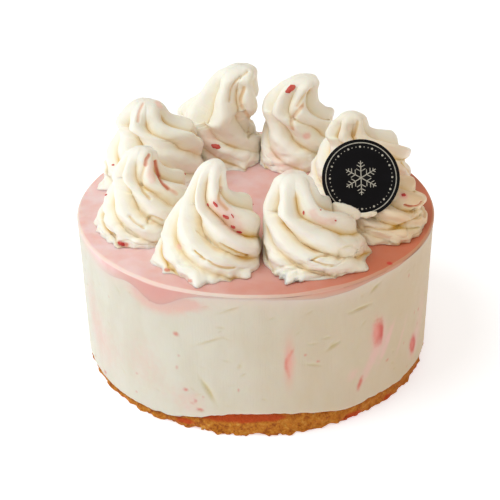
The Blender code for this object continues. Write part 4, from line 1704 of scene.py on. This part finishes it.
        # Tints from the strokes: painted crease shade, pink, and red fruit stain with painted shade.
        tints = {"hollow": read_values(mesh, "hollow"), "blush": shift.copy(), "juice_and_shade": shift.copy()}
        for stroke, places in strokes:
            reach = self.stroke_reach * stroke.half_width
            low, high = places.min(axis=0) - reach, places.max(axis=0) + reach
            near = np.all((points > low) & (points < high), axis=1)
            away = np.linalg.norm(points[near][:, None] - places[None], axis=2).min(axis=1, initial=np.inf)
            fall = bell(away, stroke.half_width)
            shift[near] -= stroke.depth * fall
            for name, tint in tints.items():
                strength = getattr(stroke, name)
                tint[near] = np.maximum(tint[near], np.minimum(strength, strength * fall * self.stroke_tint))
        write_points(mesh, points + normals * shift[:, None])
        for name, tint in tints.items():
            write_values(mesh, name, tint)

    def strew_bits(self, sight: Sight) -> bpy.types.Mesh:
        """A point for each bit of fruit, with its size, its turn and the way that it faces."""
        rows = []
        for fleck in self.flecks:
            seen = sight.look(fleck.x, fleck.y)
            if seen:
                rows.append((*seen[1], *seen[2], fleck.length, fleck.width, math.radians(fleck.turn)))
        draw = random.Random(3)
        for _ in range(self.hidden_flecks):
            number = draw.randrange(len(self.swirls))
            swirl = self.swirls[number]
            bearing = math.radians(draw.uniform(*self.hidden_bearings))
            out = Vector((math.cos(bearing), math.sin(bearing), 0.0))
            height = self.cake.height + swirl.height * draw.uniform(*self.hidden_levels)
            start = (Vector((swirl.x, swirl.y, height)) + out * self.hidden_reach) * MM
            hit, spot, normal, _ = sight.pieces[number].ray_cast(start, -out)
            length, turn = draw.uniform(*self.hidden_lengths), draw.uniform(*self.hidden_turns)
            if hit:
                rows.append((*spot, *normal, length, length * draw.uniform(*self.hidden_widths), turn))
        table = np.array(rows)
        mesh = bpy.data.meshes.new("bit_places")
        mesh.from_pydata(table[:, :3].tolist(), [], [])
        for name, part in (("facing", table[:, 3:6]), ("size", table[:, 6:9])):
            mesh.attributes.new(name, "FLOAT_VECTOR", "POINT").data.foreach_set("vector", part.reshape(-1))
        return mesh

    def bits_rule(self) -> Rule:
        """Lays a lumpy flat bit of fruit on every point that it is given."""
        inputs = {"Places": "", "Thickness": self.fleck_thickness * MM, "Finish": None}
        rule = Rule("Strawberry bits", TreeKind.GEOMETRY, inputs, {"Geometry": ""})
        w = rule.wiring
        length, width, turn = w.split(w.held("size", "FLOAT_VECTOR"))
        facing = {"Vector": w.held("facing", "FLOAT_VECTOR")}
        face = w.made("FunctionNodeAlignRotationToVector", {"axis": "Z"}, facing)
        spin = w.made("FunctionNodeAxisAngleToRotation", None, {"Axis": (0.0, 0.0, 1.0), "Angle": turn})
        both = {"Rotation": face, "Rotate By": spin}
        laid = w.made("FunctionNodeRotateRotation", {"rotation_space": "LOCAL"}, both)
        scale = w.join(length * MM, width * MM, rule["Thickness"])
        ball = w.lumpy_ball(0.5, 3, *self.fleck_dents)
        rule.close(w.copies(rule["Places"], ball, Rotation=laid, Scale=scale))
        return rule

    def body_rule(self) -> Rule:
        """The smooth body: a cone whose middle wanders, and whose ridge lines wind round it."""
        values = self.values(self.swirls[0])
        inputs = {"Share": 0.0, "Turn": 0.0, **{name: values[name] for name in self.BODY_INPUTS}}
        rule = Rule("Swirl body", TreeKind.GEOMETRY, inputs, {"Point": (0.0, 0.0, 0.0)})
        w = rule.wiring
        share, bearing, tip = rule["Share"], rule["Shoulder Bearing"], rule["Tip Share"]
        level = share ** rule["Level Power"]
        push = w.curve(self.shoulder_path, level) * rule["Shoulder Reach"]
        aside = (push * w.math("COSINE", bearing), push * w.math("SINE", bearing))
        middle = w.join(*aside, rule["Height"] * share)
        middle = w.vector("ADD", middle, w.scaled(rule["Horn"], w.curve(self.horn_path, level)))
        middle = w.vector("ADD", middle, w.scaled(rule["Tip"], w.curve(self.tip_path, level)))
        blunt = w.math("MAXIMUM", (share - 1.0 + tip) / tip, 0.0)
        round_off = w.math("SQRT", w.math("MAXIMUM", 1.0 - blunt * blunt, 0.0))
        on_horn = w.ramp(level, self.horn_from, self.horn_to)
        eased = on_horn * on_horn * (3.0 - on_horn * 2.0)
        fuller = eased * (rule["Horn Width"] - 1.0) + 1.0
        reach = w.curve(self.profile, level) * fuller * rule["Radius"] * round_off
        wound = rule["Twist"] * (1.0 - share) ** rule["Twist Power"]
        turned = rule["First Crease"] + rule["Turn"] * (2 * math.pi) + wound
        spoke = w.join(w.math("COSINE", turned), w.math("SINE", turned), 0.0)
        rule.give(Point=w.vector("ADD", middle, w.scaled(spoke, reach)))
        return rule

    def ridge_rule(self, body: Rule) -> Rule:
        """The whole swirl: a sheet of rows and columns wrapped round the body and creased.

        Args:
            body: The rule for the smooth body.

        Returns:
            The rule for the ridged swirl.
        """
        inputs = {**self.values(self.swirls[0]), "Finish": None}
        rule = Rule("Piped swirl", TreeKind.GEOMETRY, inputs, {"Geometry": ""})
        w = rule.wiring
        counts = {"Vertices X": rule["Columns per Ridge"] * self.ridges + 1, "Vertices Y": rule["Rows"] + 1}
        sheet = w.made("GeometryNodeMeshGrid", None, {"Size X": 1.0, "Size Y": 1.0, **counts})
        x, y, _ = w.split(w.place())

        # Which ridge a column is on, and how far across it
        column = (x + 0.5) * self.ridges
        part = w.math("FRACT", column)
        across_ridge = 0.5 - w.math("COSINE", part * math.pi) * 0.5
        place = w.math("FLOOR", column) + across_ridge
        sharp = w.math("SINE", part * math.pi)
        soft = 0.5 - w.math("COSINE", across_ridge * (2 * math.pi)) * 0.5
        bulge = sharp * rule["Sharpness"] + soft * (1.0 - rule["Sharpness"])
        turn: Flow | float = 0.0
        crease = rule["Crease 1"]
        for i in range(self.ridges):
            turn = w.ramp(place, i, i + 1, 0.0, rule[f"Width {i + 1}"]) + turn
            step_on = rule[f"Crease {(i + 1) % self.ridges + 1}"] - rule[f"Crease {i + 1}"]
            crease = crease + w.ramp(place, i, i + 1, 0.0, step_on)

        # How high a row is: the first row closes the foot, the last ones round the tip
        row = (y + 0.5) * rule["Rows"]
        tip, wall_share = rule["Tip Share"], rule["Wall Share"]
        share = w.math("MAXIMUM", (row - 1.0) / (rule["Rows"] - 1.0), 0.0)
        wall = w.math("MINIMUM", share / wall_share, 1.0) * (1.0 - tip)
        over = w.math("MAXIMUM", (share - wall_share) / (1.0 - wall_share), 0.0)
        height = wall + w.math("SINE", over * (math.pi / 2)) * tip

        def point(at: Flow, turned: Flow) -> Flow:
            """A point of the smooth body."""
            same = {name: rule[name] for name in self.BODY_INPUTS}
            return body.used_in(w, {"Share": at, "Turn": turned, **same})

        # The crease is cut along the body's normal, which comes from two slopes
        step = rule["Step"]
        low, high = w.math("MAXIMUM", height - step, 0.0), w.math("MINIMUM", height + step, 0.999)
        up = w.vector("SUBTRACT", point(high, turn), point(low, turn))
        up = w.scaled(up, w.math("DIVIDE", 1.0, high - low))
        across = w.vector("SUBTRACT", point(height, turn + step), point(height, turn - step))
        across = w.scaled(across, w.math("DIVIDE", 0.5, step))
        outward = w.vector("CROSS_PRODUCT", across, up)
        ridge_width = w.length(outward) / w.math("MAXIMUM", w.length(up), 1e-6) / self.ridges
        low_down = height / rule["Calm Height"]
        calm = 1.0 - w.math("EXPONENT", low_down * low_down * -1.0) * rule["Calm Foot"]
        bare_tip = w.ramp(height, rule["Smooth From"], self.smooth_to, 1.0, self.smooth_tip)
        depth = rule["Ridge Depth"] * crease * ridge_width * (1.0 - bulge) * calm * bare_tip
        inward = w.scaled(w.vector("NORMALIZE", outward), depth)
        cx, cy, cz = w.split(w.vector("SUBTRACT", point(height, turn), inward))
        closes = w.math("MINIMUM", row, 1.0)
        placed = w.join(cx * closes, cy * closes, w.math("MAXIMUM", cz, 0.0) * closes)

        angle, turns = turn * (2 * math.pi), self.strand_turns
        round_it = (w.math("COSINE", angle) * turns, w.math("SINE", angle) * turns)
        strand = w.join(*round_it, height * self.strand_rise)
        # Crease mask, which the cream finish paints with crease shade.
        hollow = (1.0 - bulge) * bare_tip
        for name, form, value in (("hollow", "FLOAT", hollow), ("strand", "FLOAT_VECTOR", strand)):
            options = {"data_type": form, "domain": "POINT"}
            inputs = {"Geometry": sheet, "Name": name, "Value": value}
            sheet = w.made("GeometryNodeStoreNamedAttribute", options, inputs)
        # The sheet's own place feeds every sum above, so it is moved in one go, after they are stored
        moved = w.made("GeometryNodeSetPosition", None, {"Geometry": sheet, "Position": placed})
        small = w.made("GeometryNodeTransform", None, {"Geometry": moved, "Scale": (MM, MM, MM)})
        rule.close(w.made("GeometryNodeMergeByDistance", None, {"Geometry": small, "Distance": 1e-6}))
        return rule

    def values(self, swirl: Swirl) -> dict:
        """The rule's inputs for one swirl, by name."""
        draw = random.Random(swirl.seed)
        widths = [draw.uniform(*self.ridge_widths) for _ in range(self.ridges)]
        creases = [draw.uniform(*self.ridge_cuts) for _ in range(self.ridges)]
        creases[0] = self.first_crease_depth
        return {
            "Rows": self.rows,
            "Columns per Ridge": self.columns_per_ridge,
            "Wall Share": self.wall_share,
            "Ridge Depth": self.ridge_depth * swirl.relief,
            "Sharpness": self.crease_sharpness,
            "Calm Foot": self.calm_foot,
            "Calm Height": self.calm_height,
            "Smooth From": self.smooth_from,
            "Step": self.slope_step,
            "Height": swirl.height,
            "Radius": swirl.radius,
            "Horn": (*swirl.horn, 0.0),
            "Tip": (*swirl.tip, 0.0),
            "Shoulder Bearing": math.radians(swirl.shoulder_bearing),
            "Shoulder Reach": swirl.shoulder_reach * swirl.radius,
            "Horn Width": swirl.horn_width,
            "Level Power": math.log(self.shoulder_level) / math.log(swirl.shoulder_height),
            "First Crease": math.radians(swirl.first_crease),
            "Twist": self.twist,
            "Twist Power": self.twist_power,
            "Tip Share": self.tip_share,
            **{f"Width {i + 1}": width / sum(widths) for i, width in enumerate(widths)},
            **{f"Crease {i + 1}": crease for i, crease in enumerate(creases)},
        }

    def frills(self, swirl: Swirl) -> list[tuple[float, float, float]]:
        """Bearing, width and length of the torn points round a swirl's foot."""
        draw = random.Random(swirl.seed)
        for _ in range(2 * self.ridges):
            draw.random()
        return [tuple(draw.uniform(*part) for part in self.frill_ranges) for _ in range(self.frill_count)]

    def thin_spikes(self, swirl: Swirl) -> list[tuple[float, float, float]]:
        """Bearing, width and length of the thin points: those that show, and small ones all round."""
        draw = random.Random(40 + swirl.seed)
        shown = self.spikes[swirl.seed - 1]
        shown = [(math.radians(place), math.radians(width), length) for place, width, length in shown]
        small = [tuple(draw.uniform(*part) for part in self.spike_ranges) for _ in range(self.spike_count)]
        return shown + small

    def finish_by_hand(self, mesh: bpy.types.Mesh, swirl: Swirl) -> None:
        """Tears the foot, makes the ridges uneven and presses the swirl against what it touches.

        Args:
            mesh: The swirl's mesh, which is changed.
            swirl: Its sizes.
        """
        points, normals = read_points(mesh), read_normals(mesh)
        bearing = np.arctan2(points[:, 1], points[:, 0])
        tear = np.zeros(len(points))
        frills = (self.frills(swirl), self.frill_fall, 1.0)
        spikes = (self.thin_spikes(swirl), self.spike_fall, self.spike_reach)
        for places, fall_height, reach in (frills, spikes):
            fall = bell(points[:, 2], fall_height)
            for centre, width, length in places:
                tear += reach * length * bell(swing(bearing, centre, 2 * math.pi), width) * fall
        tear *= np.hypot(points[:, 0], points[:, 1]) > 1
        points[:, :2] += np.stack([np.cos(bearing), np.sin(bearing)], axis=1) * tear[:, None]
        seed, up = 50 + 3 * swirl.seed, points[:, 2]
        lumps = unevenness(points, self.lumps, seed)
        lumps += bell(up, self.foot_height) * unevenness(points, self.foot_lumps, seed)
        torn = bell(unevenness(points, self.folds, seed), self.fold_width) * bell(up, self.fold_height)
        lumps -= self.fold_depth * torn
        points += normals * (lumps * np.clip(up, 0, 1))[:, None]
        # Painted crease shade in the torn folds goes into the crease mask.
        write_values(mesh, "hollow", np.maximum(read_values(mesh, "hollow"), self.fold_shade * torn))
        points = self.press(points, swirl)
        points[:, 2] = np.maximum(points[:, 2], 0.0)
        points += (swirl.x, swirl.y, self.cake.height - self.foot_sink)
        write_points(mesh, points)

    def press(self, points: np.ndarray, swirl: Swirl) -> np.ndarray:
        """Presses a swirl back from its neighbours and from the cake's rim.

        Args:
            points: The swirl's points about its own middle.
            swirl: Its sizes.

        Returns:
            The pressed points.
        """
        for other in self.swirls:
            away = np.array([other.x - swirl.x, other.y - swirl.y, 0.0])
            distance = np.linalg.norm(away)
            if other is swirl or distance > self.neighbour_reach:
                continue
            away /= distance
            reach = points @ away
            limit = distance / 2 + self.neighbour_overlap
            back = soft_min(reach, limit, self.neighbour_softness) - reach
            back = back * (reach > limit - self.neighbour_band)
            points = points + away * back[:, None]
        place = points[:, :2] + (swirl.x, swirl.y)
        reach = np.linalg.norm(place, axis=1)
        held = soft_min(reach, self.rim_reach, self.rim_softness)
        pressed = np.where(reach > self.rim_reach - self.rim_band, held, reach)
        points = points.copy()
        points[:, :2] += place * ((pressed - reach) / np.maximum(reach, 1e-6))[:, None]
        return points


# Tag


@dataclass(frozen=True)
class Tag:
    """The round card: a dark disc with a plain printed ring, dots and a snow crystal."""

    radius: float = 15.3
    thickness: float = 1.5
    bevel: float = 0.3
    sides: int = 144
    centre: tuple[float, float, float] = (41.4, -26.0, 88.7)
    turn: float = math.radians(2)
    lean: float = math.radians(33)
    ring_share: float = 0.905
    ring_width: float = 0.34
    print_height: float = 0.06
    dots: int = 48
    dot_share: float = 0.80
    dot_radius: float = 0.32
    dot_sides: int = 12
    dot_sizes: tuple[float, float] = (0.6, 0.7)
    arm_share: float = 0.44
    arm_width: float = 0.36
    twig_width: float = 0.8
    twigs: tuple[tuple[float, float], ...] = ((0.38, 0.30), (0.62, 0.26), (0.82, 0.16))

    def stand(self) -> Matrix:
        """Turns a disc that lies flat into the leaning tag, in metres."""
        turned = Matrix.Rotation(self.turn, 4, "Z") @ Matrix.Rotation(math.pi / 2 - self.lean, 4, "X")
        return Matrix.Translation(Vector(self.centre) * MM) @ turned @ Matrix.Scale(MM, 4)

    def build(self, effects: Effects) -> None:
        """Makes the disc and what is printed on it."""
        form = bmesh.new()
        sizes = {"radius1": self.radius, "radius2": self.radius, "depth": self.thickness}
        bmesh.ops.create_cone(form, cap_ends=True, segments=self.sides, **sizes)
        edges = [edge for edge in form.edges if len(edge.link_faces) == 2 and edge.calc_face_angle() > 1]
        bmesh.ops.bevel(form, geom=edges, offset=self.bevel, segments=3, profile=0.5, affect="EDGES")
        mesh = bpy.data.meshes.new("card_disc")
        form.to_mesh(mesh)
        form.free()
        mesh.transform(self.stand())
        mesh.shade_smooth()
        mesh.set_sharp_from_angle(angle=math.radians(40))
        hand_over(place_piece("card_disc", mesh, TagFinish().make(effects)), Slot.TAG, "tag")
        values = {**self.print_values(), "Finish": PrintFinish().make(effects)}
        ink = self.print_rule().grow("card_print", values)
        ink.transform(self.stand())
        hand_over(place_piece("card_print", ink, None), Slot.TAG)

    def print_values(self) -> dict:
        """The print rule's inputs."""
        return {
            "Ring Radius": self.radius * self.ring_share,
            "Ring Width": self.ring_width,
            "Print Height": self.print_height,
            "Face": self.thickness / 2,
            "Dots": self.dots,
            "Dot Circle": self.radius * self.dot_share,
            "Dot Radius": self.dot_radius,
            "Arm Length": self.radius * self.arm_share,
            "Arm Width": self.arm_width,
        }

    def print_rule(self) -> Rule:
        """A ring line, a circle of dots and a six-armed snow crystal, as one rule."""
        inputs = {**self.print_values(), "Finish": None}
        rule = Rule("Card print", TreeKind.GEOMETRY, inputs, {"Geometry": ""})
        w = rule.wiring
        tall = rule["Print Height"]
        line = {"Resolution": self.sides, "Radius": rule["Ring Radius"]}
        circle = w.made("GeometryNodeCurvePrimitiveCircle", {"mode": "RADIUS"}, line)
        cut = {"Width": rule["Ring Width"], "Height": tall * 2.0}
        section = w.made("GeometryNodeCurvePrimitiveQuadrilateral", {"mode": "RECTANGLE"}, cut)
        ring = w.made("GeometryNodeCurveToMesh", None, {0: circle, 1: section})

        round_it = {"Vertices": rule["Dots"], "Radius": rule["Dot Circle"]}
        dot_circle = w.made("GeometryNodeMeshCircle", None, round_it)
        dot_form = {"Vertices": self.dot_sides, "Radius": rule["Dot Radius"], "Depth": tall * 2.0}
        dot = w.made("GeometryNodeMeshCylinder", None, dot_form)
        index = w.made("GeometryNodeInputIndex")
        third = w.math("LESS_THAN", w.math("MODULO", index, 3.0), 0.5)
        least, more = self.dot_sizes
        size = third * more + least
        dots = w.copies(dot_circle, dot, Scale=w.join(size, size, 1.0))

        arm_length, arm_width = rule["Arm Length"], rule["Arm Width"]
        bars = [self.bar(w, 0.0, arm_length, 0.0, arm_width, tall)]
        for share, length in self.twigs:
            for slant in (-math.pi / 3, math.pi / 3):
                start = arm_length * share
                bars.append(self.bar(w, start, arm_length * length, slant, arm_width * self.twig_width, tall))
        spokes = w.made("GeometryNodeMeshCircle", None, {"Vertices": 6, "Radius": 0.0001})
        turned = w.join(0.0, 0.0, index * (math.pi / 3) + math.pi / 6)
        crystal = w.copies(spokes, self.gathered(w, bars), Rotation=turned)
        up = w.join(0.0, 0.0, rule["Face"])
        lift = {"Geometry": self.gathered(w, [ring, dots, crystal]), "Translation": up}
        rule.close(w.made("GeometryNodeTransform", None, lift), smooth=False)
        return rule

    @staticmethod
    def gathered(w: Wiring, parts: list[Flow]) -> Flow:
        """Several parts joined into one geometry."""
        node = w.node("GeometryNodeJoinGeometry")
        for part in parts:
            w.feed(node.inputs[0], part)
        return w.out(node)

    @staticmethod
    def bar(w: Wiring, start: Flow | float, length: Flow, slant: float, width: Flow, tall: Flow) -> Flow:
        """A thin bar that starts on the arm's line and points outwards.

        Args:
            w: The tree's wiring.
            start: How far out along the arm it starts.
            length: Its length.
            slant: Its angle to the arm.
            width: Its width.
            tall: Half its height.

        Returns:
            The bar's geometry.
        """
        box = w.made("GeometryNodeMeshCube", None, {"Size": w.join(length, width, tall * 2.0)})
        middle = w.join(length * (0.5 * math.cos(slant)) + start, length * (0.5 * math.sin(slant)), 0.0)
        moves = {"Geometry": box, "Translation": middle, "Rotation": (0.0, 0.0, slant)}
        return w.made("GeometryNodeTransform", None, moves)


@dataclass(frozen=True)
class Smear:
    """Cream that was pushed up over the card's lower edge."""

    tag: Tag
    rows: int = 28
    columns: int = 24
    sink: float = 0.4
    lumps: Grains = ((71, 1.6, 0.3, 1.0),)
    sideways: float = 2.2
    patches: tuple[tuple[float, float, float, float, float], ...] = (
        (-116, 24, 14.6, 2.9, 2.0),
        (-82, 15, 14.9, 1.1, 0.9),
    )

    def build(self, finish: bpy.types.Material) -> None:
        """Makes the patches from the swirls' cream."""
        for number, patch in enumerate(self.patches, start=1):
            hand_over(place_piece(f"cream_smear_{number}", self.make_patch(*patch), finish), Slot.CREAM)

    def make_patch(
        self, bearing: float, spread: float, distance: float, half_width: float, tall: float
    ) -> bpy.types.Mesh:
        """One patch: an oval bent along the card's edge.

        Args:
            bearing: Degrees round the card's face to its middle.
            spread: Half of what it covers, in degrees.
            distance: From the card's middle.
            half_width: Half its width.
            tall: How far it stands out from the card.

        Returns:
            The closed mesh.
        """
        turn = np.linspace(0, math.pi, self.rows + 2)[1:-1, None]
        round_it = (np.arange(self.columns) * 2 * math.pi / self.columns)[None, :]
        up = np.sin(turn) * np.sin(round_it)
        angle = np.radians(bearing + spread * np.cos(turn)) + 0 * round_it
        reach = distance + half_width * np.sin(turn) * np.cos(round_it)
        height = self.tag.thickness / 2 + np.where(up > 0, tall, self.sink) * up
        spots = np.stack([reach * np.cos(angle), reach * np.sin(angle), height], axis=-1)
        lump = unevenness(spots.reshape(-1, 3), self.lumps).reshape(up.shape)
        spots[..., :2] *= (1 + lump / distance * self.sideways)[..., None]
        spots[..., 2] += lump * np.clip(up, 0, 1)
        mesh = closed_tube("cream_smear", spots, {name: 0 * up for name in ("hollow", "blush", "juice_and_shade")})
        mesh.attributes.new("strand", "FLOAT_VECTOR", "POINT")
        mesh.transform(self.tag.stand() @ Matrix.Scale(1 / MM, 4))
        return mesh


# Studio


def aimed(place: tuple[float, float, float], aim: tuple[float, float, float]) -> Matrix:
    """The stand of a camera or a lamp at a place that looks at its aim."""
    ahead = Vector(aim) - Vector(place)
    return Matrix.Translation(place) @ ahead.to_track_quat("-Z", "Y").to_matrix().to_4x4()


@dataclass(frozen=True)
class Studio:
    """The pale floor, the soft light and the camera at the photograph's angle."""

    floor_size: float = 16.0
    camera_place: tuple[float, float, float] = (0.0, -0.40630, 0.27460)
    camera_aim: tuple[float, float, float] = (-0.002549, 0.0, 0.041799)
    camera_roll: float = -0.01272
    lens: float = 77.567
    sensor: float = 36.0
    sky: float = 0.58
    sky_colour: Colour = (1.0, 0.88, 0.71, 1.0)
    key_place: tuple[float, float, float] = (-0.58, -0.14, 0.85)
    key_size: float = 0.8
    key_power: float = 5.8
    key_colour: tuple[float, float, float] = (0.82, 0.95, 1.0)
    key_aim: tuple[float, float, float] = (0.0, 0.0, 0.05)

    def build(self, effects: Effects) -> None:
        """Sets everything up."""
        self.lay_floor(effects)
        self.hang_lights()
        self.set_camera()

    def lay_floor(self, effects: Effects) -> None:
        """Lays the floor."""
        form = bmesh.new()
        bmesh.ops.create_grid(form, x_segments=2, y_segments=2, size=self.floor_size / 2)
        mesh = bpy.data.meshes.new("pale_floor")
        form.to_mesh(mesh)
        form.free()
        place_piece("pale_floor", mesh, FloorFinish().make(effects))

    def hang_lights(self) -> None:
        """Lights the sky and hangs the key light."""
        scene = bpy.context.scene
        world = bpy.data.worlds.new("soft_sky")
        world.use_nodes = True
        back = world.node_tree.nodes["Background"]
        back.inputs["Color"].default_value = self.sky_colour
        back.inputs["Strength"].default_value = self.sky
        scene.world = world
        key = bpy.data.lights.new("key", "AREA")
        key.shape = "DISK"
        key.size = self.key_size
        key.energy = self.key_power
        key.color = self.key_colour
        lamp = bpy.data.objects.new("key", key)
        lamp.matrix_world = aimed(self.key_place, self.key_aim)
        scene.collection.objects.link(lamp)

    def camera_stand(self) -> Matrix:
        """Where the camera stands and how it is turned."""
        return aimed(self.camera_place, self.camera_aim) @ Matrix.Rotation(self.camera_roll, 4, "Z")

    def set_camera(self) -> None:
        """Places the camera."""
        scene = bpy.context.scene
        camera = bpy.data.cameras.new("photo_view")
        camera.lens = self.lens
        camera.sensor_width = self.sensor
        holder = bpy.data.objects.new("photo_view", camera)
        holder.matrix_world = self.camera_stand()
        scene.collection.objects.link(holder)
        scene.camera = holder
        scene.view_settings.view_transform = "Standard"


def main() -> None:
    """Builds the cake's looks and the studio round it."""
    logging.basicConfig(level=logging.INFO, format="%(name)s: %(message)s")
    effects = Effects()
    cake = Cake()
    studio = Studio()
    studio.build(effects)
    BiscuitBase(cake).build(effects)
    IceCreamLayer(cake).build(effects)
    StrawberryTop(cake).build(effects)
    cream = CreamFinish().make(effects)
    PipedCream(cake).build(effects, studio, cream)
    tag = Tag()
    tag.build(effects)
    Smear(tag).build(cream)


if __name__ == "__main__":
    main()
